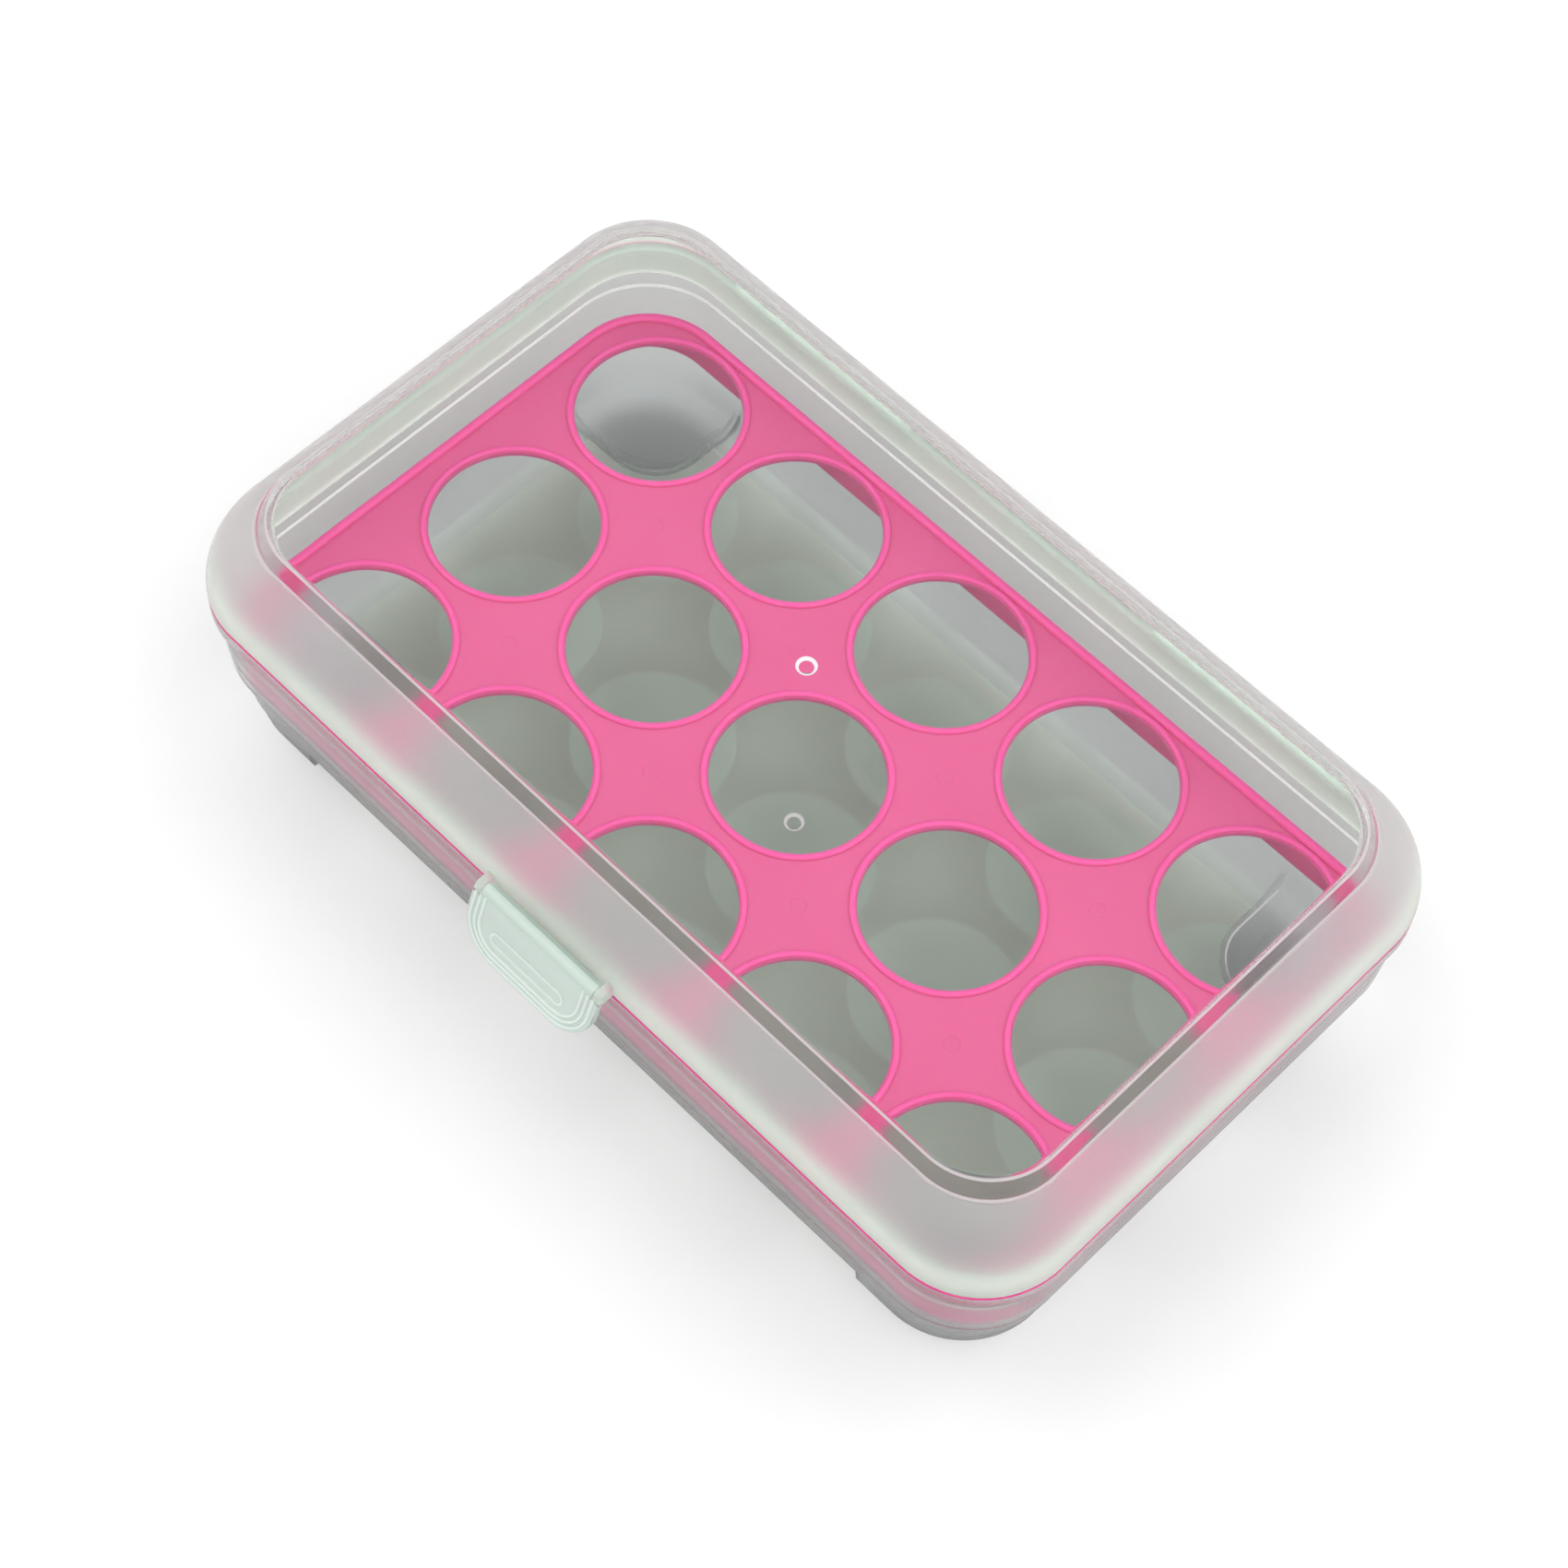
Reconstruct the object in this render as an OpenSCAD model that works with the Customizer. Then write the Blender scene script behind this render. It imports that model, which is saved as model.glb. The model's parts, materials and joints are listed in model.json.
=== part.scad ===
// Egg box with a hinged lid, a loose egg tray and a front latch.
// The base and the lid are thin shells: one wall section swept round a rounded rectangle.
// X runs along the case, -Y is the latch side, +Y the hinge side, Z is up from the feet.

/* [Case] */
// Length of the case over its rim
case_l = 242; // [220:1:300]
// Width of the case over its rim, front to back
case_w = 144.8; // [140:0.2:180]
// Corner radius of the rim, seen from above
corner_r = 24; // [21:0.5:32]
// Wall thickness of the base and the lid
wall = 1.3; // [1:0.1:1.8]

/* [Base] */
// Height of the base, from its feet to the top of its rim
base_h = 48.5; // [45:0.5:60]
// Height of the thick rim band
rim_h = 4.5; // [3.5:0.1:6]
// How far the rim band stands out of the wall
rim_out = 0.9; // [0.6:0.1:1.6]
// How far the wall leans in between the rim and the tray ledge
upper_lean = 1; // [0.4:0.1:2]
// Height of the ledge that carries the tray
ledge_z = 25.6; // [22:0.2:30]
// Width of the tray ledge
ledge_w = 1.5; // [1.2:0.1:2.4]
// How far the wall leans in between the ledge and the bottom round
lower_lean = 1.2; // [0.8:0.1:2]
// Radius of the round between the wall and the floor
floor_round = 9; // [6:0.5:11]

/* [Feet] */
// Height of the corner feet under the floor
foot_h = 4.5; // [3:0.5:7]
// Length of a foot, from the rim's end inwards
foot_l = 32; // [28:1:40]
// Width of a foot, from the rim's side inwards
foot_w = 30.4; // [28:0.4:38]
// How far the wall leans in over a foot, below the ledge
foot_lean = 2.8; // [2.2:0.1:4]
// Radius of the round at the edge of a foot
foot_round = 4; // [2:0.5:5]
// Corner radius of the foot's inner corner
foot_corner_r = 6; // [3:0.5:10]

/* [Lid] */
// Radius of the lid's rounded side
dome_r = 25.5; // [24:0.5:30]
// Height of the rounded side, from the lid's lip to its shoulder
dome_h = 19.6; // [16:0.2:22]
// Height of the raised clear panel over the shoulder
panel_h = 3.9; // [2:0.1:6]
// Width of the flat shoulder between the rounded side and the panel
shoulder_w = 0.6; // [0.3:0.1:4]
// Corner radius of the panel at its foot
panel_r = 18; // [15:0.5:24]
// How far the panel's side leans in
panel_lean = 2; // [0.8:0.1:3]
// Depth of the locating skirt below the lid's lip
skirt_h = 6.5; // [3:0.5:8]
// Thickness of the locating skirt
skirt_t = 1.2; // [1:0.1:1.6]

/* [Egg tray] */
// Number of egg holes along the tray
hole_cols = 5; // [3:1:5]
// Number of egg holes across the tray
hole_rows = 3; // [2:1:3]
// Distance between the centres of the egg holes
hole_pitch = 45; // [42:0.5:46]
// Diameter of an egg hole
hole_d = 38.8; // [34:0.2:40]
// Thickness of the tray's plate
tray_t = 1.2; // [1:0.1:1.6]
// Radius of the bead round each hole
hole_bead_r = 0.9; // [0.5:0.1:1.1]
// Radius of the bead round the tray's edge
edge_bead_r = 1.2; // [0.8:0.1:1.5]
// Distance from the tray's edge to its stiffening rib
rib_inset = 3; // [2.6:0.1:5]
// Depth of the stiffening rib under the plate
rib_h = 6; // [3:0.5:9]
// Thickness of the stiffening rib
rib_t = 1.2; // [0.8:0.1:1.6]

/* [Hinge] */
// Distance from the case's middle to the middle of each hinge
hinge_x = 64; // [56:1:66]
// Length of each hinge bar
hinge_l = 56; // [30:1:56]
// Radius of the hinge bars on the base
bar_r = 1.5; // [1.2:0.1:1.7]
// Outer radius of the lid's hinge hooks
hook_r = 2.3; // [2.3:0.1:2.6]
// How far the hinge axis lies behind the rim
hinge_out = 0.8; // [0.7:0.1:1.6]
// Thickness of the lugs that hold the hinge bars
lug_t = 3; // [2:0.5:4]

/* [Latch] */
// Width of the latch's finger plate
latch_w = 36.8; // [30:0.2:50]
// Length of the finger plate from the latch's axis
latch_l = 15.8; // [14:0.2:20]
// Radius of the finger plate's lower corners
latch_corner_r = 10; // [7:0.5:12]
// Thickness of the finger plate
latch_t = 1.6; // [1.2:0.1:1.8]
// Angle of the finger plate from the vertical
latch_tilt = 19; // [12:1:30]
// Radius of the latch's hinge bar on the lid
latch_bar_r = 1; // [0.8:0.1:1.1]
// Outer radius of the latch's barrel
barrel_r = 1.8; // [1.8:0.1:2.2]
// Height of the latch's axis over the lid's lip
latch_axis_h = 1.8; // [1.6:0.1:3]
// Thickness of the ears that hold the latch's bar
ear_t = 1.8; // [1.4:0.1:2.4]
// Number of raised ridges on the finger plate
ridge_count = 3; // [1:1:3]
// Width of a ridge
ridge_w = 0.7; // [0.5:0.1:0.9]
// Distance from one ridge to the next
ridge_step = 1.6; // [1.4:0.1:2]
// Height of a ridge
ridge_h = 0.5; // [0.3:0.1:0.6]
// Width of the hook that catches the rim
catch_w = 24; // [16:1:28]

/* [Clearances] */
// Gap between the rim and the lid's lip
lip_gap = 0.3; // [0.2:0.1:0.5]
// Gap between pieces that pass each other
clear = 0.4; // [0.3:0.1:0.6]
// Gap between the tray and the wall above its ledge
tray_gap = 0.6; // [0.4:0.1:0.8]
// Gap between the tray and its ledge
seat_gap = 0.1; // [0.05:0.05:0.2]
// Radial running gap of the hinge and latch bars
bar_gap = 0.08; // [0.05:0.01:0.1]
// Gap between the latch's hook and the rim that it snaps over
snap_gap = 0.15; // [0.1:0.05:0.3]

/* [Hidden] */
$fn = 96;

// A little extra, by which cuts pass right through and solids lap
past = 1;

// Half sizes of the rim, and the corner axes that the wall sections turn about
half_l = case_l / 2;
half_w = case_w / 2;
axis_x = half_l - corner_r;
axis_y = half_w - corner_r;

// Insets of the base's outer wall from the rim, from the rim down
in_rim = rim_out;
in_ledge = in_rim + upper_lean;
in_lower = in_ledge + ledge_w;
in_round = in_lower + lower_lean;
in_foot = in_lower + foot_lean;

// Heights
rim_z = base_h - rim_h;
ledge_top_z = ledge_z - wall / 2;
ledge_low_z = ledge_z - wall;
floor_z = foot_h + wall;
lip_z = base_h + lip_gap;
shoulder_z = lip_z + dome_h;
top_z = shoulder_z + panel_h;

// Inset of the panel's foot from the rim, to a hundredth of a millimetre
shoulder_in = dome_r - sqrt(dome_r * dome_r - dome_h * dome_h);
panel_in = round((shoulder_in + shoulder_w) * 100) / 100;

// The tray's outline follows the wall over the ledge
tray_in = in_ledge + wall + tray_gap;
tray_z = ledge_z + seat_gap;
tray_top_z = tray_z + tray_t;
hole_r = hole_d / 2;

// Hinge axis behind the rim, and latch axis in front of the lid's lip
hinge_y = half_w + hinge_out;
hinge_z = base_h;
notch_h = hook_r + clear + 0.2;
latch_y = -(half_w + barrel_r + clear);
latch_z = lip_z + latch_axis_h;
barrel_l = latch_w - 2 * (ear_t + clear);

// Reach of the latch and of the hinge, and the shift that centres the whole on the origin
plate_reach = latch_l * sin(latch_tilt) + barrel_r * cos(latch_tilt);
ridge_reach = (latch_l - ridge_w) * sin(latch_tilt) + (barrel_r + ridge_h) * cos(latch_tilt);
front_reach = max(plate_reach, ridge_reach) - latch_y;
rear_reach = hinge_y + hook_r;
shift_y = (front_reach - rear_reach) / 2;

// Colours
clear_plastic = [0.86, 0.88, 0.88, 0.45];
tray_pink = [0.9, 0.4, 0.6];
latch_mint = [0.8, 0.89, 0.84, 0.9];

// Point where the line from p, outside a circle, touches the circle's outer side
function touch(p, c, r) =
    let (d = norm(p - c))
    let (a = atan2(p[1] - c[1], p[0] - c[0]) - acos(r / d))
    c + r * [cos(a), sin(a)];

// Sweeps a section round the case. The section's x is the distance from a corner axis.
module swept(ax, ay) {
    for (turn = [0 : 3]) {
        across = turn % 2 == 0 ? ax : ay;
        along = turn % 2 == 0 ? ay : ax;
        rotate([0, 0, 90 * turn]) translate([across, along, 0]) {
            rotate([90, 0, 0]) linear_extrude(2 * along) children();
            rotate_extrude(angle = 90) children();
        }
    }
}

// A block a little past the corner axes, which fills the middle of a swept solid
module core(ax, ay, z0, z1) {
    translate([-ax - past, -ay - past, z0]) cube([2 * (ax + past), 2 * (ay + past), z1 - z0]);
}

// Rounded rectangle seen from above
module rounded(l, w, r) {
    square([l - 2 * r, w], center = true);
    square([l, w - 2 * r], center = true);
    for (x = [-1, 1], y = [-1, 1]) {
        translate([x * (l / 2 - r), y * (w / 2 - r)]) circle(r);
    }
}

// A round bar along X, at a place in the YZ plane
module bar_x(x0, x1, y, z, r) {
    translate([x0, y, z]) rotate([0, 90, 0]) cylinder(r = r, h = x1 - x0);
}

// Lower wall of the base: a leaning line that runs tangent into a round at the bottom
module lower_section(start, toe, bottom_z, round_r, thin) {
    centre = [corner_r - toe - round_r, bottom_z + round_r];
    r = round_r - thin;
    p = [corner_r - start - thin, ledge_z - (thin > 0 ? 0 : wall)];
    t = touch(p, centre, r);
    polygon([[0, centre[1] - r], [centre[0], centre[1] - r], centre, t, p, [0, p[1]]]);
    intersection() {
        translate(centre) circle(r);
        translate([centre[0], centre[1] - r]) square(r);
    }
}

// Section of the base's outside, filled to the corner axis
module base_outside() {
    polygon([
        [0, base_h], [corner_r, base_h], [corner_r, rim_z], [corner_r - in_rim, rim_z],
        [corner_r - in_ledge, ledge_top_z], [corner_r - in_lower, ledge_low_z], [0, ledge_low_z],
    ]);
    lower_section(in_lower, in_round, foot_h, floor_round, 0);
}

// Section of the base's inside, open at the top
module base_inside() {
    polygon([
        [0, base_h + past], [corner_r - in_rim - wall, base_h + past],
        [corner_r - in_rim - wall, rim_z], [corner_r - in_ledge - wall, ledge_z], [0, ledge_z],
    ]);
    lower_section(in_lower, in_round, foot_h, floor_round, wall);
}

// Plan of the four feet, drawn in by a wall for their insides
module foot_plan(thin) {
    x0 = half_l - foot_l + thin;
    y0 = half_w - foot_w + thin;
    r = foot_corner_r - thin;
    for (x = [0, 1], y = [0, 1]) {
        mirror([x, 0]) mirror([0, y]) translate([x0, y0]) {
            translate([r, r]) circle(r);
            translate([r, 0]) square([foot_l, foot_w]);
            translate([0, r]) square([foot_l, foot_w]);
        }
    }
}

// The four feet: the corner walls carried on down to the ground
module feet(thin) {
    intersection() {
        union() {
            swept(axis_x, axis_y) lower_section(in_lower, in_foot, 0, foot_round, thin);
            core(axis_x, axis_y, thin, ledge_z);
        }
        linear_extrude(floor_z + floor_round) foot_plan(thin);
    }
}

// The base's lugs and bars, two hinges side by side
module hinge_bars() {
    for (side = [-1, 1]) {
        x0 = side * hinge_x - hinge_l / 2;
        x1 = side * hinge_x + hinge_l / 2;
        bar_x(x0 - lug_t, x1 + lug_t, hinge_y, hinge_z, bar_r);
        bar_x(x0 - lug_t, x0, hinge_y, hinge_z, hook_r);
        bar_x(x1, x1 + lug_t, hinge_y, hinge_z, hook_r);
    }
}

// Room in the rim for the lid's hinge hooks
module hinge_notches() {
    depth = wall + rim_out + clear;
    for (side = [-1, 1]) {
        translate([side * hinge_x - hinge_l / 2, half_w - depth, base_h - notch_h])
            cube([hinge_l, depth + past, notch_h + past]);
    }
}

module base() color(clear_plastic) translate([0, shift_y, 0]) {
    difference() {
        union() {
            swept(axis_x, axis_y) base_outside();
            core(axis_x, axis_y, foot_h, base_h);
            feet(0);
        }
        swept(axis_x, axis_y) base_inside();
        core(axis_x, axis_y, floor_z, base_h + past);
        feet(wall);
        hinge_notches();
    }
    hinge_bars();
}

// Section of the lid's rounded side, filled to the corner axis
module dome_section(thin) {
    intersection() {
        translate([corner_r - dome_r, lip_z]) circle(dome_r - thin, $fn = 180);
        translate([0, lip_z]) square([corner_r + past, dome_h - thin]);
    }
}

// The raised panel, with its own corner radius
module panel(thin) {
    ax = half_l - panel_in - panel_r;
    ay = half_w - panel_in - panel_r;
    z0 = shoulder_z - wall - thin;
    z1 = top_z - thin;
    swept(ax, ay) polygon([
        [0, z0], [panel_r - thin, z0], [panel_r - thin, shoulder_z],
        [panel_r - panel_lean - thin, z1], [0, z1],
    ]);
    core(ax, ay, z0, z1);
}

// Lip ring and locating skirt, which drops inside the base's rim
module lip_section() {
    out = in_rim + wall + clear;
    translate([corner_r - out - skirt_t, lip_z]) square([out + skirt_t - wall / 2, wall]);
    translate([corner_r - out - skirt_t, lip_z - skirt_h]) square([skirt_t, skirt_h + wall]);
}

// Hooks that clip over the base's hinge bars
module hinge_hooks() {
    for (side = [-1, 1]) {
        x0 = side * hinge_x - hinge_l / 2 + clear;
        bar_x(x0, x0 + hinge_l - 2 * clear, hinge_y, hinge_z, hook_r);
    }
}

// Bores of the hooks with their snap mouths, and room round the lugs
module hinge_cuts() {
    bore_r = bar_r + bar_gap;
    mouth = 1.5 * bar_r;
    for (side = [-1, 1]) {
        x0 = side * hinge_x - hinge_l / 2;
        x1 = x0 + hinge_l;
        bar_x(x0, x1, hinge_y, hinge_z, bore_r);
        translate([x0, hinge_y, hinge_z]) rotate([-45, 0, 0])
            translate([0, 0, -mouth / 2]) cube([hinge_l, 2 * hook_r, mouth]);
        bar_x(x0 - lug_t - clear, x0 + clear, hinge_y, hinge_z, hook_r + clear);
        bar_x(x1 - clear, x1 + lug_t + clear, hinge_y, hinge_z, hook_r + clear);
    }
}

// Ears and bar that carry the latch, in front of the lid's lip
module latch_ears() {
    ear_r = barrel_r - 0.1;
    for (side = [-1, 1]) {
        x0 = side * (latch_w - ear_t) / 2 - ear_t / 2;
        bar_x(x0, x0 + ear_t, latch_y, latch_z, ear_r);
        translate([x0, latch_y, latch_z - ear_r])
            cube([ear_t, barrel_r + clear + wall, 2 * ear_r]);
    }
    bar_x(-latch_w / 2 + past / 2, latch_w / 2 - past / 2, latch_y, latch_z, latch_bar_r);
}

module lid() color(clear_plastic) translate([0, shift_y, 0]) {
    difference() {
        union() {
            difference() {
                union() {
                    swept(axis_x, axis_y) dome_section(0);
                    core(axis_x, axis_y, lip_z, shoulder_z);
                    panel(0);
                }
                swept(axis_x, axis_y) dome_section(wall);
                core(axis_x, axis_y, lip_z - past, shoulder_z - wall);
                panel(wall);
            }
            swept(axis_x, axis_y) lip_section();
            hinge_hooks();
        }
        hinge_cuts();
    }
    latch_ears();
}

// Centres of the egg holes
module at_holes() {
    for (col = [0 : hole_cols - 1], row = [0 : hole_rows - 1]) {
        x = (col - (hole_cols - 1) / 2) * hole_pitch;
        y = (row - (hole_rows - 1) / 2) * hole_pitch;
        translate([x, y, 0]) children();
    }
}

module egg_tray() color(tray_pink) translate([0, shift_y, 0]) {
    edge_r = corner_r - tray_in;
    rib_r = edge_r - rib_inset;
    difference() {
        union() {
            translate([0, 0, tray_z]) linear_extrude(tray_t)
                rounded(case_l - 2 * tray_in, case_w - 2 * tray_in, edge_r);
            swept(axis_x, axis_y) translate([edge_r - edge_bead_r, tray_top_z]) circle(edge_bead_r);
            swept(axis_x, axis_y) translate([rib_r - rib_t, tray_z - rib_h]) square([rib_t, rib_h + tray_t / 2]);
            at_holes() translate([0, 0, tray_top_z]) rotate_extrude()
                translate([hole_r + hole_bead_r * 0.9, 0]) circle(hole_bead_r);
        }
        at_holes() translate([0, 0, tray_z - past]) cylinder(r = hole_r, h = tray_t + 3 * past);
    }
}

// Outline of the finger plate, with round lower corners, drawn in by a margin
module plate_plan(margin) {
    r = latch_corner_r - margin;
    half = latch_w / 2 - margin;
    end = latch_l - margin;
    intersection() {
        translate([-half, 0]) square([2 * half, end]);
        union() {
            translate([-half, 0]) square([2 * half, end - r]);
            translate([-half + r, 0]) square([2 * (half - r), end]);
            for (side = [-1, 1]) {
                translate([side * (half - r), end - r]) circle(r);
            }
        }
    }
}

// Finger plate with its raised ridges, in the latch's own plane
module finger_plate() {
    groove_l = latch_w / 2;
    groove_z = latch_l * 0.45;
    difference() {
        union() {
            translate([0, 0, barrel_r - latch_t]) linear_extrude(latch_t) plate_plan(0);
            for (n = [0 : ridge_count - 1]) {
                margin = ridge_w + n * ridge_step;
                translate([0, 0, barrel_r - latch_t / 2]) linear_extrude(latch_t / 2 + ridge_h) difference() {
                    plate_plan(margin);
                    plate_plan(margin + ridge_w);
                    translate([-latch_w, -past]) square([2 * latch_w, 2 * barrel_r + past]);
                }
            }
        }
        translate([0, groove_z, barrel_r - ridge_h]) linear_extrude(latch_t) {
            square([groove_l, ridge_w], center = true);
            for (side = [-1, 1]) translate([side * groove_l / 2, 0]) circle(ridge_w / 2);
        }
    }
}

// Leg that hangs in front of the rim, with a nose that snaps under it
module catch_leg() {
    face = latch_y + barrel_r;
    nose = -half_w - snap_gap;
    foot_z = rim_z - clear;
    translate([-catch_w / 2, 0, 0]) rotate([90, 0, 90]) linear_extrude(catch_w) polygon([
        [face - latch_t, latch_z], [face - latch_t, foot_z - latch_t], [face, foot_z - latch_t],
        [nose, foot_z - latch_t / 2], [nose, foot_z], [face, foot_z + clear], [face, latch_z],
    ]);
}

module latch() color(latch_mint) translate([0, shift_y, 0]) {
    ear_room = barrel_r + clear;
    mouth = 1.5 * latch_bar_r;
    difference() {
        union() {
            bar_x(-barrel_l / 2, barrel_l / 2, latch_y, latch_z, barrel_r);
            translate([0, latch_y, latch_z]) rotate([-90 - latch_tilt, 0, 0]) mirror([0, 0, 1])
                finger_plate();
            catch_leg();
        }
        bar_x(-latch_w, latch_w, latch_y, latch_z, latch_bar_r + bar_gap);
        translate([-latch_w, latch_y, latch_z]) rotate([45, 0, 0])
            translate([0, 0, -mouth / 2]) cube([2 * latch_w, 2 * barrel_r, mouth]);
        for (side = [-1, 1]) {
            x0 = side * (latch_w + barrel_l) / 4;
            half = (latch_w - barrel_l) / 4;
            bar_x(x0 - half, x0 + half + past, latch_y, latch_z, ear_room);
        }
    }
}

base();
lid();
egg_tray();
latch();
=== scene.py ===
# %% [markdown]
# # An egg box, seen in the studio
# The box is four plastic mouldings: a translucent tub, a domed lid, a pink egg tray and a milky latch. The
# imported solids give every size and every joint. This lesson models the four mouldings again as clean
# meshes, with the small rounds that catch light on real plastic, and then gives them their finish.

# %% Load the frame
import json
import math
import bmesh
import bpy
from mathutils import Matrix, Vector


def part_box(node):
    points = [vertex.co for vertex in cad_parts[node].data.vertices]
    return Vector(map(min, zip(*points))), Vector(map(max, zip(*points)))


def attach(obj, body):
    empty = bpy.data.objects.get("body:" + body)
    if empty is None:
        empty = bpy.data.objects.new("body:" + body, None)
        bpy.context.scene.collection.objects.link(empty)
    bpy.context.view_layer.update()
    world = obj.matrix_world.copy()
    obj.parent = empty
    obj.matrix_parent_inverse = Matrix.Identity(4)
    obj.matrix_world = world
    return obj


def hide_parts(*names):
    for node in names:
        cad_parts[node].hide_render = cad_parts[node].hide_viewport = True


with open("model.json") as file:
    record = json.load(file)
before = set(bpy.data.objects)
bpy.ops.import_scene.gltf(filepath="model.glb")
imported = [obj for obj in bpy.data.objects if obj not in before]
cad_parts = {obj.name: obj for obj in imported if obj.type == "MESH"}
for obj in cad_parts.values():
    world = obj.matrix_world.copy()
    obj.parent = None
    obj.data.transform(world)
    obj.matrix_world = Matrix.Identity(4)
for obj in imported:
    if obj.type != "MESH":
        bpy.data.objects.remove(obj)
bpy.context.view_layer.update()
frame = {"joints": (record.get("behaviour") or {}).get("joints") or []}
MM = 0.001

# %% [markdown]
# ## The sizes that drive the shapes
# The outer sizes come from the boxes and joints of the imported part, so the meshes can't drift away from
# it. The rest are the wall sections of the mouldings, in millimetres. An inset is always counted inwards
# from the rim of the case, and widths across the case are counted from its middle line.

# %% Sizes of the case
lid_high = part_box("lid")[1] / MM
base_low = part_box("base")[0] / MM
tray_low, tray_high = (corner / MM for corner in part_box("egg_tray"))
HALF_L = lid_high.x
MIDDLE_Y = (tray_low.y + tray_high.y) / 2
HALF_W = MIDDLE_Y - base_low.y
TOP_Z = lid_high.z
axis_of = {j["name"]: Vector(j["pos_m"]) / MM for j in frame["joints"] if "pos_m" in j}
HINGE_Y = axis_of["lid_hinge"].y - MIDDLE_Y
HINGE_Z = axis_of["lid_hinge"].z
LATCH_Y = axis_of["latch_hinge"].y - MIDDLE_Y
LATCH_Z = axis_of["latch_hinge"].z
RIM_R = 22
WALL = 1.3
CLEAR = 0.4
LIP_GAP = 0.3
RIM_TOP = HINGE_Z
LIP_Z = RIM_TOP + LIP_GAP
print("case", round(2 * HALF_L, 2), "x", round(2 * HALF_W, 2), "mm, middle at y", round(MIDDLE_Y, 3))

# %% [markdown]
# ## Working in edit mode
# An operator acts on whatever is selected. By hand that is a matter of clicking, and here a test of each
# vertex or face decides instead. Every closed skin is finished in the same way, with its doubles merged
# and its faces turned outwards.

# %% Selecting and closing
MERGE = 0.004


def deselect():
    bpy.ops.object.select_all(action="DESELECT")


def activate(piece):
    """Makes a piece the only selected and the active object."""
    deselect()
    piece.select_set(True)
    bpy.context.view_layer.objects.active = piece


def start_piece(name):
    """An empty mesh object, open in edit mode."""
    deselect()
    bpy.ops.object.add(type="MESH", enter_editmode=True)
    piece = bpy.context.object
    piece.name = name
    return piece


def select_where(test):
    """Selects the vertices in edit mode whose place passes a test, and what lies between them."""
    bpy.ops.mesh.select_mode(type="VERT")
    mesh = bmesh.from_edit_mesh(bpy.context.object.data)
    for element in (*mesh.verts, *mesh.edges, *mesh.faces):
        element.select = False
    for vert in mesh.verts:
        vert.select = test(vert.co)
    mesh.select_flush(True)
    bmesh.update_edit_mesh(bpy.context.object.data)


def select_faces(test):
    """Selects the faces in edit mode that pass a test."""
    bpy.ops.mesh.select_mode(type="FACE")
    bpy.ops.mesh.select_all(action="DESELECT")
    mesh = bmesh.from_edit_mesh(bpy.context.object.data)
    for face in mesh.faces:
        if test(face):
            face.select_set(True)
    bmesh.update_edit_mesh(bpy.context.object.data)


def close_mesh():
    """Merges doubles, turns the faces outwards and leaves edit mode."""
    bpy.ops.mesh.select_all(action="SELECT")
    bpy.ops.mesh.remove_doubles(threshold=MERGE * MM)
    bpy.ops.mesh.normals_make_consistent(inside=False)
    bpy.ops.object.mode_set(mode="OBJECT")


print("doubles merge at", MERGE, "mm")

# %% [markdown]
# ## Rings and lofts
# Both shells are one wall section that goes round a rounded rectangle. A curve with a bevel profile could
# sweep it, but then every corner would be a parallel curve. Here each level is a ring of its own: a plane
# whose corners are bevelled round, with its face deleted. Neighbouring rings are bridged, so the corner
# radius can change from level to level, and all faces between them are quads.

# %% Rings and lofts
CORNER_STEPS = 18
ROUND_PROFILE = 0.5
LIFT = 0.3
SAME_LEVEL = 0.002
SAME_LINE = 0.01


def add_ring(ring, lift=0):
    """A rounded rectangle of edges. A ring is (half length, half width, corner radius, height) in mm."""
    half_x, half_y, radius, z = (size * MM for size in ring)
    middle = (0, MIDDLE_Y * MM, z + lift)
    bpy.ops.mesh.select_all(action="DESELECT")
    bpy.ops.mesh.primitive_plane_add(size=2, location=middle)
    bpy.ops.transform.resize(value=(half_x, half_y, 1), center_override=middle)
    bpy.ops.mesh.bevel(affect="VERTICES", offset=radius, segments=CORNER_STEPS, profile=ROUND_PROFILE)
    bpy.ops.mesh.delete(type="ONLY_FACE")


def ring_distance(co, ring):
    """How far a point lies outside the outline of a ring, in metres, negative within it."""
    half_x, half_y, radius = (size * MM for size in ring[:3])
    qx = abs(co.x) - half_x + radius
    qy = abs(co.y - MIDDLE_Y * MM) - half_y + radius
    return math.hypot(max(qx, 0), max(qy, 0)) + min(max(qx, qy), 0) - radius


def on_ring(co, ring):
    """Tells whether a point lies on a ring."""
    off_level = abs(co.z - ring[3] * MM)
    return off_level < SAME_LEVEL * MM and abs(ring_distance(co, ring)) < SAME_LINE * MM


def loft(name, rings):
    """Bridges a row of rings into a closed skin, with a face on the first ring and on the last. Each new
    ring is bridged LIFT metres above the others, so that rings in one plane aren't joined crosswise."""
    piece = start_piece(name)
    add_ring(rings[0])
    for before, ring in zip(rings, rings[1:]):
        add_ring(ring, LIFT)
        select_where(lambda co: on_ring(co, before) or co.z > LIFT / 2)
        bpy.ops.mesh.bridge_edge_loops()
        select_where(lambda co: co.z > LIFT / 2)
        bpy.ops.transform.translate(value=(0, 0, -LIFT))
    for end in (rings[0], rings[-1]):
        select_where(lambda co: on_ring(co, end))
        bpy.ops.mesh.edge_face_add()
    close_mesh()
    return piece


print("rings have", 4 * (CORNER_STEPS + 1), "points")

# %% [markdown]
# ## Sections with rounded corners
# A moulding has no knife edges. A section is drawn as a few corner points, each with its own small radius,
# and the arc between the two tangent points is worked out here. A Bevel modifier could round the edges,
# but has one width for all of them. The arcs are what makes the bright lines along the edges later.

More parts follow.
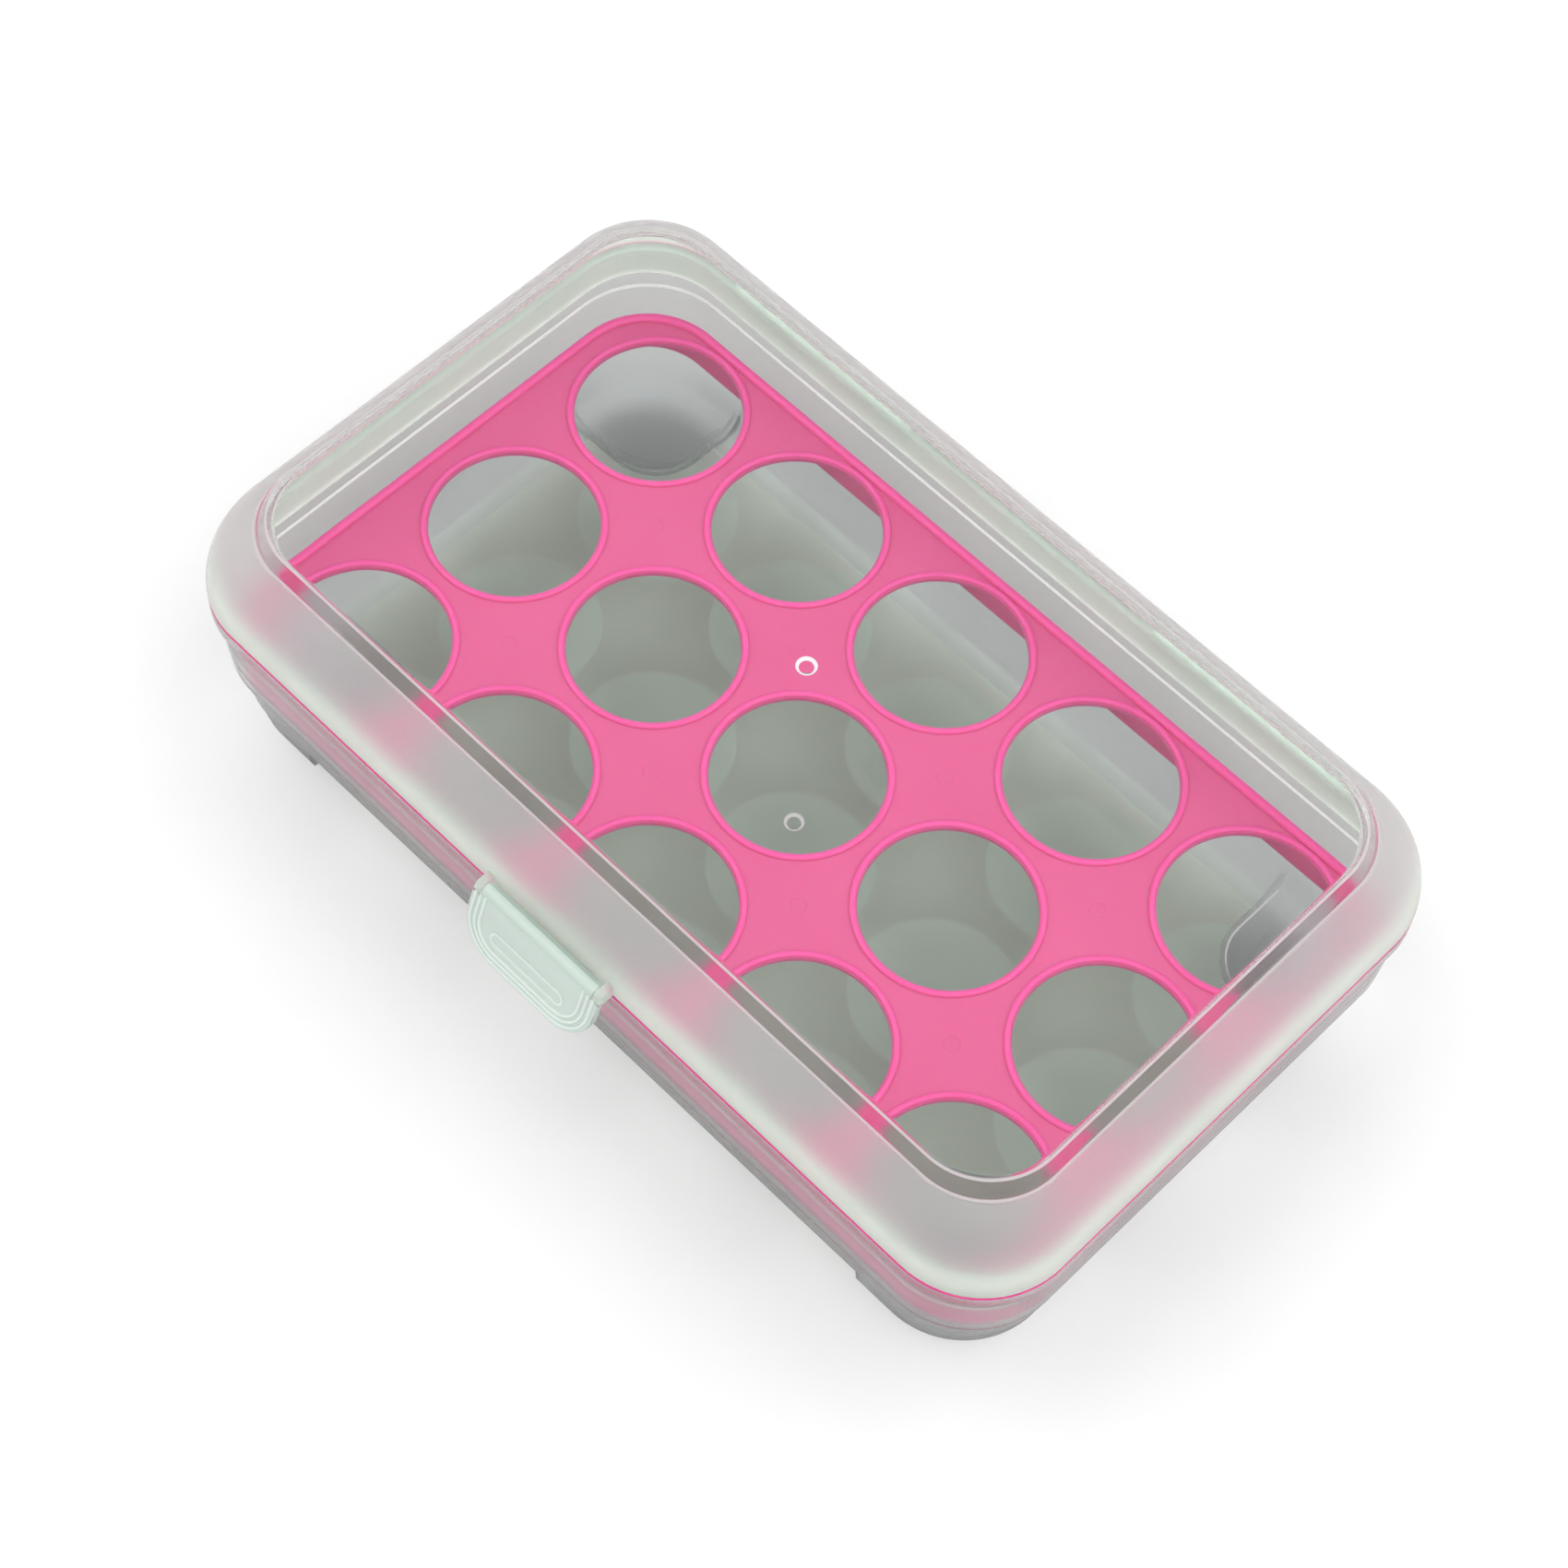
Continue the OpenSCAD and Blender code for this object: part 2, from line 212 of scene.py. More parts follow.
# %% Section helpers
ROUND_STEPS = 4
BIG_ROUND = 2
BIG_ROUND_STEPS = 12


def rounded_section(corners):
    """Section points (inset, height) from corners (inset, height, radius)."""
    points = []
    for i, (x, z, radius) in enumerate(corners):
        here = Vector((x, z))
        if radius == 0 or i in (0, len(corners) - 1):
            points.append(here)
            continue
        back = (Vector(corners[i - 1][:2]) - here).normalized()
        ahead = (Vector(corners[i + 1][:2]) - here).normalized()
        half_angle = back.angle(ahead) / 2
        centre = here + (back + ahead).normalized() * radius / math.sin(half_angle)
        start = here + back * radius / math.tan(half_angle) - centre
        end = here + ahead * radius / math.tan(half_angle) - centre
        first = math.atan2(start.y, start.x)
        sweep = math.remainder(math.atan2(end.y, end.x) - first, 2 * math.pi)
        count = ROUND_STEPS if radius < BIG_ROUND else BIG_ROUND_STEPS
        turns = [first + sweep * n / count for n in range(count + 1)]
        points += [centre + radius * Vector((math.cos(turn), math.sin(turn))) for turn in turns]
    return points


def arc_section(centre_inset, centre_z, radius, first, last, steps):
    """Section points on a big arc, between two angles in degrees from the outward direction."""
    angles = (math.radians(first + (last - first) * i / steps) for i in range(steps + 1))
    return [Vector((centre_inset - radius * math.cos(a), centre_z + radius * math.sin(a))) for a in angles]


def rings_of(section, corner):
    """Rings of the case's outline for a section, with a rule that gives the corner radius at an inset."""
    return [(HALF_L - p.x, HALF_W - p.x, corner(p.x), p.y) for p in section]


print("a rounded corner takes", ROUND_STEPS + 1, "rings")

# %% [markdown]
# ## Tools for cutting and joining
# Hooks, bars, ears and feet grow out of the shells. They could be extruded from the shells' own faces, but
# the rings don't end where a hook does, so each is a small solid of its own that a Boolean modifier unites
# with the shell or cuts out of it. The solids get soft edges by a bevel before they are joined.

# %% Bars, blocks and Booleans
BAR_STEPS = 40
SOFT_STEPS = 3
SHARP_ANGLE = 50


def soften(piece, width):
    """Bevels the sharp edges of a piece and applies the bevel."""
    activate(piece)
    bevel = piece.modifiers.new("soft edges", "BEVEL")
    bevel.width = width * MM
    bevel.segments = SOFT_STEPS
    bevel.limit_method = "ANGLE"
    bevel.angle_limit = math.radians(SHARP_ANGLE)
    bpy.ops.object.modifier_apply(modifier=bevel.name)
    return piece


def bar_along_x(x0, x1, y, z, radius):
    """A round bar between two places along the case."""
    deselect()
    bpy.ops.mesh.primitive_cylinder_add(
        vertices=BAR_STEPS, radius=radius * MM, depth=(x1 - x0) * MM,
        location=((x0 + x1) / 2 * MM, (MIDDLE_Y + y) * MM, z * MM), rotation=(0, math.pi / 2, 0),
    )
    bpy.ops.object.transform_apply()
    return bpy.context.object


def block(low, high, about=(0, 0), tilt=0):
    """A box between two corners, taken from a line along X, turned about that line by some degrees."""
    deselect()
    size = Vector(high) - Vector(low)
    turn = Matrix.Rotation(math.radians(tilt), 3, "X")
    middle = turn @ ((Vector(low) + Vector(high)) / 2) + Vector((0, MIDDLE_Y + about[0], about[1]))
    bpy.ops.mesh.primitive_cube_add(
        size=1, location=middle * MM, rotation=(math.radians(tilt), 0, 0), scale=size * MM,
    )
    bpy.ops.object.transform_apply()
    return bpy.context.object


def combine(piece, tool, operation):
    """UNION, DIFFERENCE or INTERSECT of a piece with a tool, which is used up."""
    activate(piece)
    cut = piece.modifiers.new(operation, "BOOLEAN")
    cut.operation = operation
    cut.solver = "EXACT"
    cut.object = tool
    bpy.ops.object.modifier_apply(modifier=cut.name)
    bpy.data.objects.remove(tool)
    return piece


def tidy_cuts(piece):
    """Merges what a Boolean left doubled, and dissolves edges and faces without any size."""
    activate(piece)
    bpy.ops.object.mode_set(mode="EDIT")
    bpy.ops.mesh.select_all(action="SELECT")
    bpy.ops.mesh.remove_doubles(threshold=MERGE * MM)
    bpy.ops.mesh.dissolve_degenerate(threshold=MERGE * MM)
    bpy.ops.object.mode_set(mode="OBJECT")


print("bars have", BAR_STEPS, "sides")

# %% [markdown]
# ## The lid
# The lid's side is a quarter of a barrel, and a clear panel stands on it. Its section runs from the gate
# mark in the middle of the panel, over the side, round the lip and the locating skirt, and back up the
# inside. One loft of that whole section makes the wall with its true thickness, where a Solidify modifier
# would pinch the steps.

# %% Lid sizes
DOME_R = 25.5
DOME_H = 19.6
DOME_END = 1.5
DOME_STEPS = 14
SHOULDER_W = 0.6
PANEL_R = 17
PANEL_LEAN = 2
PANEL_FLAT = 9
PANEL_ROUND = 0.7
PANEL_ROUND_IN = 0.6
STEP_ROUND = 0.5
LIP_H = 0.6
LIP_ROUND = 0.5
SKIRT_IN = 2.6
SKIRT_T = 1.2
SKIRT_H = 6.5
SKIRT_ROUND = 0.4
SKIRT_ROOT = 0.3
SHOULDER_Z = LIP_Z + DOME_H
skirt_low = LIP_Z - SKIRT_H
shoulder_in = DOME_R - math.sqrt(DOME_R**2 - DOME_H**2)
panel_in = shoulder_in + SHOULDER_W
panel_edge = panel_in + PANEL_LEAN
inner_r = DOME_R - WALL
print("panel stands", round(panel_edge, 2), "mm inside the rim")

# %% Lid section
top_angle, inner_top, inner_low = (
    math.degrees(math.asin(rise)) for rise in (DOME_H / DOME_R, (DOME_H - WALL) / inner_r, WALL / inner_r)
)
lip_in = DOME_R - inner_r * math.cos(math.radians(inner_low))
outside = rounded_section([
    (panel_edge + PANEL_FLAT, TOP_Z, 0), (panel_edge, TOP_Z, PANEL_ROUND),
    (panel_in, SHOULDER_Z, STEP_ROUND), (shoulder_in, SHOULDER_Z, 0),
])
outside += arc_section(DOME_R, LIP_Z, DOME_R, top_angle, DOME_END, DOME_STEPS)[1:]
lip_and_skirt = rounded_section([
    (0, LIP_Z + LIP_H, 0), (0, LIP_Z, LIP_ROUND),
    (SKIRT_IN, LIP_Z, SKIRT_ROOT), (SKIRT_IN, skirt_low, SKIRT_ROUND),
    (SKIRT_IN + SKIRT_T, skirt_low, SKIRT_ROUND), (SKIRT_IN + SKIRT_T, LIP_Z + WALL, SKIRT_ROOT),
    (lip_in, LIP_Z + WALL, 0),
])[1:]
inside = arc_section(DOME_R, LIP_Z, inner_r, inner_low, inner_top, DOME_STEPS)[1:]
inside += rounded_section([
    (inside[-1].x, SHOULDER_Z - WALL, 0), (panel_in + WALL, SHOULDER_Z - WALL, STEP_ROUND),
    (panel_edge + WALL, TOP_Z - WALL, PANEL_ROUND_IN), (panel_edge + PANEL_FLAT, TOP_Z - WALL, 0),
])[1:]
print("lid section:", len(outside), "+", len(lip_and_skirt), "+", len(inside), "points")

# %% Lid shell
GATE_R = 2.3
GATE_DEPTH = 0.7
GATE_ROUND = 0.98
gate_shape = [(0.25, 1), (0.7, 0.8), (0.92, 0.3), (1, 0)]


def lid_corner(inset):
    """The corner radius falls evenly from the rim to the panel."""
    return RIM_R + (PANEL_R - RIM_R) * inset / panel_edge


def gate_mark(z):
    """Rings of the round dimple where the plastic was let into the mould."""
    return [
        (share * GATE_R, share * GATE_R, GATE_ROUND * share * GATE_R, z - dip * GATE_DEPTH)
        for share, dip in gate_shape
    ]


lid_rings = gate_mark(TOP_Z) + rings_of(outside + lip_and_skirt + inside, lid_corner)
lid = loft("lid_shell", lid_rings)
print("lid:", len(lid_rings), "rings,", len(lid.data.polygons), "faces")

# %% [markdown]
# ## Hinge hooks on the lid
# Two long hooks at the back clip over bars on the tub. Each is a bar with a bore, and a mouth that looks
# back and down, so the lid can be pressed on. A C-shaped profile could be swept, but a bored and slit bar
# has the same form and keeps the bore exactly on the joint's axis.

# %% Hinge hooks
HINGE_X = 64
HINGE_L = 56
BAR_R = 1.5
HOOK_R = 2.3
HOOK_SOFT = 0.3
LUG_T = 3
RUN_GAP = 0.08
MOUTH = 2.25
MOUTH_TILT = 45
hinge_spans = [(side * HINGE_X - HINGE_L / 2, side * HINGE_X + HINGE_L / 2) for side in (-1, 1)]
for x0, x1 in hinge_spans:
    hook = bar_along_x(x0 + CLEAR, x1 - CLEAR, HINGE_Y, HINGE_Z, HOOK_R)
    combine(lid, soften(hook, HOOK_SOFT), "UNION")
for x0, x1 in hinge_spans:
    combine(lid, bar_along_x(x0, x1, HINGE_Y, HINGE_Z, BAR_R + RUN_GAP), "DIFFERENCE")
    mouth = block((x0, 0, -MOUTH / 2), (x1, 2 * HOOK_R, MOUTH / 2), (HINGE_Y, HINGE_Z), -MOUTH_TILT)
    combine(lid, mouth, "DIFFERENCE")
    for lug in ((x0 - LUG_T - CLEAR, x0 + CLEAR), (x1 - CLEAR, x1 + LUG_T + CLEAR)):
        combine(lid, bar_along_x(*lug, HINGE_Y, HINGE_Z, HOOK_R + CLEAR), "DIFFERENCE")
print("lid with hooks:", len(lid.data.polygons), "faces")

# %% [markdown]
# ## Latch ears on the lid
# In front, two ears stand out from the lip and hold the thin bar that the latch swings on. An ear is a
# short bar with a block as its root, which goes into the lid's wall.

# %% Latch ears
LATCH_W = 36.8
LATCH_BAR_R = 1
BAR_SHORT = 0.5
EAR_T = 1.8
EAR_R = 1.7
EAR_SOFT = 0.25
ear_depth = -HALF_W - LATCH_Y + WALL
for x0 in (-LATCH_W / 2, LATCH_W / 2 - EAR_T):
    ear = bar_along_x(x0, x0 + EAR_T, LATCH_Y, LATCH_Z, EAR_R)
    root = block((x0, 0, -EAR_R), (x0 + EAR_T, ear_depth, EAR_R), (LATCH_Y, LATCH_Z))
    combine(lid, soften(combine(ear, root, "UNION"), EAR_SOFT), "UNION")
latch_bar = bar_along_x(-LATCH_W / 2 + BAR_SHORT, LATCH_W / 2 - BAR_SHORT, LATCH_Y, LATCH_Z, LATCH_BAR_R)
combine(lid, latch_bar, "UNION")
tidy_cuts(lid)
print("lid with hooks and ears:", len(lid.data.polygons), "faces")

# %% [markdown]
# ## The tub
# The base is a tub with a thick rim, a ledge for the tray, a shallow rebate inside the wall and a big
# round at the floor. Its four feet are the corner walls carried on down to the ground. A loft can't grow
# feet at the corners alone, so the outside and the inside are made as two closed bodies, each with its
# feet, and the inside is then cut out of the outside.

# %% Tub sections
RIM_Z = 44
RIM_OUT = 0.9
RIM_FLAT = 2
RIM_ROOT = 0.4
RIM_ROUND_LOW = 0.35
RIM_ROUND = 0.5
LEDGE_Z = 25.6
LEDGE_ROUND = 0.6
LEDGE_BRINK = 0.4
LEDGE_ROOT = 0.3
REBATE = 0.5
REBATE_Z = 36.8
REBATE_BRINK = 0.25
REBATE_ROOT = 0.2
FOOT_H = 4.5
FOOT_ROUND = 8
FOOT_SUNK = 0.2
FLOOR_Z = FOOT_H + WALL
FLOOR_ROUND = 12
FLOOR_EDGE = 26
IN_UPPER, IN_LOWER, IN_REBATE, IN_FLOOR, IN_FOOT = 1.9, 3.4, 2.55, 4.6, 6.2
CUT_PAST = 1
ledge_low = LEDGE_Z - WALL
tub_outside = rounded_section([
    (FLOOR_EDGE, FOOT_H, 0), (IN_FLOOR, FOOT_H, FLOOR_ROUND), (IN_LOWER, ledge_low, LEDGE_ROUND),
    (IN_UPPER, LEDGE_Z - WALL / 2, LEDGE_ROUND), (RIM_OUT, RIM_Z, RIM_ROOT), (0, RIM_Z, RIM_ROUND_LOW),
    (0, RIM_TOP, RIM_ROUND), (RIM_FLAT, RIM_TOP, 0),
])
tub_inside = rounded_section([
    (FLOOR_EDGE, FLOOR_Z, 0), (IN_FLOOR + WALL, FLOOR_Z, FLOOR_ROUND - WALL),
    (IN_LOWER + WALL, LEDGE_Z, LEDGE_BRINK), (IN_UPPER + WALL, LEDGE_Z, LEDGE_ROOT),
    (IN_REBATE + REBATE, REBATE_Z, REBATE_BRINK), (IN_REBATE, REBATE_Z, REBATE_ROOT),
    (RIM_OUT + WALL, RIM_Z, 0), (RIM_OUT + WALL, RIM_TOP + CUT_PAST, 0),
])
foot_outside = rounded_section([
    (FLOOR_EDGE, 0, 0), (IN_FOOT, 0, FOOT_ROUND), (IN_LOWER + FOOT_SUNK, ledge_low, 0),
])
foot_inside = rounded_section([
    (FLOOR_EDGE, WALL, 0), (IN_FOOT + WALL, WALL, FOOT_ROUND - WALL),
    (IN_LOWER + FOOT_SUNK + WALL, ledge_low, 0),
])
print("tub sections:", len(tub_outside), "and", len(tub_inside), "points")

# %% [markdown]
# ## The feet
# Seen from above, a foot is the corner of the case with a rounded inner corner, and its inner sides slope.
# So the feet start as a loft of the lowered floor, and only what lies in four posts at the corners is
# kept. The slope comes from a few bisect cuts across the posts, whose upper ends are then scaled a little
# inwards.

# %% Foot posts
FOOT_L = 32
FOOT_W = 30.4
FOOT_CORNER_R = 14
FOOT_CORNER_STEPS = 8
FOOT_FLARE = 6
foot_slope = [(0.35, 0.22), (0.65, 0.4), (0.85, 0.3), (1, 0.08)]
POST_LOW = -1
POST_OUT = 9
POST_TOP = FLOOR_Z + FLOOR_ROUND
LEVEL_SLACK = 0.1
NEAR = 1e-5


def foot_posts(thin):
    """Four posts at the corners, drawn in by a wall for the inside. They widen towards the floor."""
    posts = start_piece("foot_posts")
    inner_x = HALF_L - FOOT_L + thin
    inner_y = HALF_W - FOOT_W + thin
    for x_side in (-1, 1):
        for y_side in (-1, 1):
            inner = Vector((x_side * inner_x, y_side * inner_y, POST_LOW))
            outer = Vector((x_side * (HALF_L + POST_OUT), y_side * (HALF_W + POST_OUT), POST_TOP))
            middle = ((inner + outer) / 2 + Vector((0, MIDDLE_Y, 0))) * MM
            bpy.ops.mesh.select_all(action="DESELECT")
            bpy.ops.mesh.primitive_cube_add(size=1, location=middle)
            bpy.ops.transform.resize(value=[abs(s) * MM for s in outer - inner], center_override=middle)

    def on_inner_edge(co):
        off_x = abs(abs(co.x) - inner_x * MM)
        off_y = abs(abs(co.y - MIDDLE_Y * MM) - inner_y * MM)
        return off_x < NEAR and off_y < NEAR

    select_where(on_inner_edge)
    corner_r = (FOOT_CORNER_R - thin) * MM
    bpy.ops.mesh.bevel(offset=corner_r, segments=FOOT_CORNER_STEPS, profile=ROUND_PROFILE)
    for step in (0, *(height for height, share in foot_slope)):
        level = (thin + step * FOOT_H) * MM
        bpy.ops.mesh.select_all(action="SELECT")
        bpy.ops.mesh.bisect(plane_co=(0, 0, level), plane_no=(0, 0, 1))
    for step, share in foot_slope:
        level = (thin + step * FOOT_H - LEVEL_SLACK) * MM
        select_where(lambda co: co.z > level)
        shrink = (1 - share * FOOT_FLARE / HALF_L, 1 - share * FOOT_FLARE / HALF_W, 1)
        bpy.ops.transform.resize(value=shrink, center_override=(0, MIDDLE_Y * MM, level))
    close_mesh()
    return posts


print("feet slope in", len(foot_slope), "steps over", FOOT_H, "mm")

# %% Tub body
WALL_CLOSING = 0.25
FLOOR_CLOSING = 0.75


def tub_corner(inset):
    """The corner radius is nearly the same down the wall, and closes in over the floor's round."""
    return RIM_R - WALL_CLOSING * inset - FLOOR_CLOSING * max(0, inset - IN_FOOT)


def tub_body(name, wall_section, foot_section, thin=0, middle=()):
    """A closed body of the tub's outside or inside, with its feet and rings for the middle of its floor."""
    body = loft(name, [*middle, *rings_of(wall_section, tub_corner)])
    feet = loft(name + "_feet", rings_of(foot_section, tub_corner))
    combine(feet, foot_posts(thin), "INTERSECT")
    return combine(body, feet, "UNION")


base = tub_body("base_tub", tub_outside, foot_outside)
combine(base, tub_body("tub_hollow", tub_inside, foot_inside, WALL, gate_mark(FLOOR_Z)), "DIFFERENCE")
print("tub:", len(base.data.polygons), "faces")

# %% [markdown]
# ## Hinge bars on the tub
# The rim is notched at the back, and a bar runs across each notch between two lugs. The lugs are a hair
# thinner and lower than the hooks, because a Boolean can't decide on a corner that lies exactly in the
# plane of the rim.

# %% Hinge bars
NOTCH_H = 2.9
NOTCH_PAST = 2
HAIR = 0.02
notch_depth = WALL + RIM_OUT + CLEAR
for x0, x1 in hinge_spans:
    notch = block((x0, -notch_depth, -NOTCH_H), (x1, NOTCH_PAST, NOTCH_PAST), (HALF_W, RIM_TOP))
    combine(base, notch, "DIFFERENCE")
for x0, x1 in hinge_spans:
    for ends in ((x0 - LUG_T, x0), (x1, x1 + LUG_T)):
        lug = bar_along_x(*ends, HINGE_Y, HINGE_Z - HAIR, HOOK_R - HAIR)
        combine(base, soften(lug, HOOK_SOFT), "UNION")
    combine(base, bar_along_x(x0 - LUG_T / 2, x1 + LUG_T / 2, HINGE_Y, HINGE_Z, BAR_R), "UNION")
tidy_cuts(base)
print("tub with hinge bars:", len(base.data.polygons), "faces")

# %% [markdown]
# ## The egg tray
# The tray is a plate with a bead round its edge, a stiffening rib under it and a bead round each of its
# fifteen holes. The plate is lofted like the shells, with the edge bead and the rib as parts of its
# section.

# %% Tray plate
TRAY_IN = 3.8
TRAY_R = 20
TRAY_GAP = 0.1
TRAY_T = 1.2
TRAY_ROUND = 0.4
TRAY_Z = LEDGE_Z + TRAY_GAP
TRAY_TOP = TRAY_Z + TRAY_T
EDGE_BEAD_R = 1.2
EDGE_BEAD_STEPS = 12
RIB_FROM_EDGE = 3
RIB_T = 1.1
RIB_ROOT = 0.2
RIB_ROUND = 0.3
PLATE_IN = 12
rib_low = tray_low.z
rib_out = TRAY_IN + RIB_FROM_EDGE
rib_in = rib_out + RIB_T
bead_in = TRAY_IN + EDGE_BEAD_R
plate_section = [Vector((PLATE_IN, TRAY_TOP))]
plate_section += arc_section(bead_in, TRAY_TOP, EDGE_BEAD_R, 180, 0, EDGE_BEAD_STEPS)
plate_section += rounded_section([
    (TRAY_IN, TRAY_TOP, 0), (TRAY_IN, TRAY_Z, TRAY_ROUND),
    (rib_out, TRAY_Z, RIB_ROOT), (rib_out, rib_low, RIB_ROUND),
    (rib_in, rib_low, RIB_ROUND), (rib_in, TRAY_Z, RIB_ROOT), (PLATE_IN, TRAY_Z, 0),
])[1:]


def tray_corner(inset):
    return TRAY_R - (inset - TRAY_IN)


tray = loft("egg_tray_plate", rings_of(plate_section, tray_corner))
print("tray plate:", len(tray.data.polygons), "faces")

# %% [markdown]
# ## Holes and their beads
# The holes are cut with plugs, and a torus is sunk halfway into the plate round each of them. An array
# could repeat one hole, but fifteen places in one mesh need just one Boolean. The torus keeps a hair's
# breadth away from the hole, because surfaces that only just touch are hard for a Boolean too.

# %% Holes and beads
HOLE_PITCH = 45
HOLE_R = 19.4
HOLE_STEPS = 72
PLUG_H = 8
BEAD_R = 0.8
BEAD_MIDDLE_R = 20.38
BEAD_STEPS = 20
hole_places = [(col * HOLE_PITCH, row * HOLE_PITCH) for col in (-2, -1, 0, 1, 2) for row in (-1, 0, 1)]


def at_holes(name, add_shape):
    """One mesh with a shape at every hole, on the plate's top face."""
    shapes = start_piece(name)
    for x, y in hole_places:
        bpy.ops.mesh.select_all(action="DESELECT")
        add_shape(Vector((x, MIDDLE_Y + y, TRAY_TOP)) * MM)
    bpy.ops.object.mode_set(mode="OBJECT")
    return shapes


def bead(place):
    bpy.ops.mesh.primitive_torus_add(
        major_segments=HOLE_STEPS, minor_segments=BEAD_STEPS,
        major_radius=BEAD_MIDDLE_R * MM, minor_radius=BEAD_R * MM, location=place,
    )


def plug(place):
    bpy.ops.mesh.primitive_cylinder_add(
        vertices=HOLE_STEPS, radius=HOLE_R * MM, depth=PLUG_H * MM, location=place,
    )


combine(tray, at_holes("plugs", plug), "DIFFERENCE")
combine(tray, at_holes("beads", bead), "UNION")
print("tray with beads:", len(tray.data.polygons), "faces")

# %% [markdown]
# ## Ejector marks
# Between the holes the pins that pushed the tray out of its mould left shallow round marks. A bump in the
# material could draw them, but a real dip also shows in the mesh, so low cones are cut out of the top
# face.

# %% Ejector marks
PIN_R = 2
PIN_SLOPE = 0.25
PIN_DEPTH = 0.12
PIN_STEPS = 24
STAMP_H = 4 * PIN_DEPTH
pin_places = [(x * HOLE_PITCH, y * HOLE_PITCH) for x in (-1.5, -0.5, 0.5, 1.5) for y in (-0.5, 0.5)]


def pin_stamps():
    """Low round stamps that stand in the plate's top face."""
    stamps = start_piece("pin_stamps")
    for x, y in pin_places:
        bpy.ops.mesh.select_all(action="DESELECT")
        bpy.ops.mesh.primitive_cone_add(
            vertices=PIN_STEPS, depth=STAMP_H * MM,
            radius1=(PIN_R - PIN_SLOPE) * MM, radius2=(PIN_R + PIN_SLOPE) * MM,
            location=(x * MM, (MIDDLE_Y + y) * MM, (TRAY_TOP + PIN_DEPTH) * MM),
        )
    bpy.ops.object.mode_set(mode="OBJECT")
    return stamps


combine(tray, pin_stamps(), "DIFFERENCE")
tidy_cuts(tray)
print("ejector marks:", len(pin_places))

# %% [markdown]
# ## The latch
# The latch is a finger plate that hangs from the lid's bar and tilts outwards. Three ridges follow its
# outline on the left, below and on the right, so they come from one face that is inset again and again, up
# and down by turns. The face starts out taller than the plate, and the part above the bar is then cut away
# with a bisect, which leaves the ridges open at the top. All this is done in an object that stands at the
# bar and has the plate's tilt.

# %% Finger plate
LATCH_L = 15.8
LATCH_T = 1.6
LATCH_TILT = 19
LATCH_CORNER_R = 10
LATCH_CORNER_STEPS = 14
LATCH_SPARE = 6
BARREL_R = 1.8
EDGE_CHAMFER = 0.2
BORDER_W = 0.6
RIDGE_H = 0.4
RIDGE_COUNT = 3
ridge_shape = [(0.25, RIDGE_H), (0.35, 0), (0.25, -RIDGE_H), (0.5, 0)]
latch_place = Vector((0, MIDDLE_Y + LATCH_Y, LATCH_Z)) * MM
latch_turn = (math.radians(90 - LATCH_TILT), 0, 0)


def inset_steps(steps):
    """Insets the selected face again and again, by (thickness, depth) in mm."""
    for thickness, depth in steps:
        bpy.ops.mesh.inset(thickness=thickness * MM, depth=depth * MM)


def finger_plate():
    """The plate with its ridges, in the plane of a face that hangs from the latch's axis."""
    deselect()
    bpy.ops.mesh.primitive_plane_add(size=1, location=latch_place, rotation=latch_turn)
    plate = bpy.context.object
    plate.name = "latch_plate"
    bpy.ops.object.mode_set(mode="EDIT")
    mesh = bmesh.from_edit_mesh(plate.data)
    for vert in mesh.verts:
        end = LATCH_SPARE if vert.co.y > 0 else -LATCH_L
        vert.co = Vector((vert.co.x * LATCH_W, end, BARREL_R)) * MM
    bmesh.update_edit_mesh(plate.data)
    select_where(lambda co: co.y < 0)
    bpy.ops.mesh.bevel(
        affect="VERTICES", offset=LATCH_CORNER_R * MM, segments=LATCH_CORNER_STEPS, profile=ROUND_PROFILE,
    )
    bpy.ops.mesh.select_all(action="SELECT")
    inset_steps([(EDGE_CHAMFER, EDGE_CHAMFER), (BORDER_W, 0), *RIDGE_COUNT * ridge_shape])
    bpy.ops.mesh.select_all(action="DESELECT")
    bpy.ops.mesh.select_non_manifold(extend=False)
    bpy.ops.mesh.extrude_edges_move(TRANSFORM_OT_translate={"value": (0, 0, 0)})
    mesh = bmesh.from_edit_mesh(plate.data)
    for vert in mesh.verts:
        if vert.select:
            vert.co.z = (BARREL_R - LATCH_T) * MM
    bmesh.update_edit_mesh(plate.data)
    bpy.ops.mesh.edge_face_add()
    bpy.ops.mesh.select_all(action="SELECT")
    upwards = plate.matrix_world.to_3x3() @ Vector((0, 1, 0))
    bpy.ops.mesh.bisect(plane_co=latch_place, plane_no=upwards, use_fill=True, clear_outer=True)
    close_mesh()
    bpy.ops.object.transform_apply()
    return plate


latch = finger_plate()
print("finger plate:", len(latch.data.polygons), "faces")

# %% [markdown]
# ## Grip pill
# In the middle of the plate lies a long pill with a groove in it. It could be swept along a line, but a
# low cylinder whose two halves are pulled apart has the same outline, and its top face is then inset and
# pushed in for the groove.

# %% Grip pill
PILL_L = 21.6
PILL_W = 4
PILL_T = 2
PILL_DOWN = 8
PILL_UP = 0.35
PILL_STEPS = 32
OFF_MIDDLE = 1e-6
FACES_UP = 0.9
pill_shape = [(0.15, 0.12), (0.4, 0), (0.2, -0.3), (0.25, -0.3)]


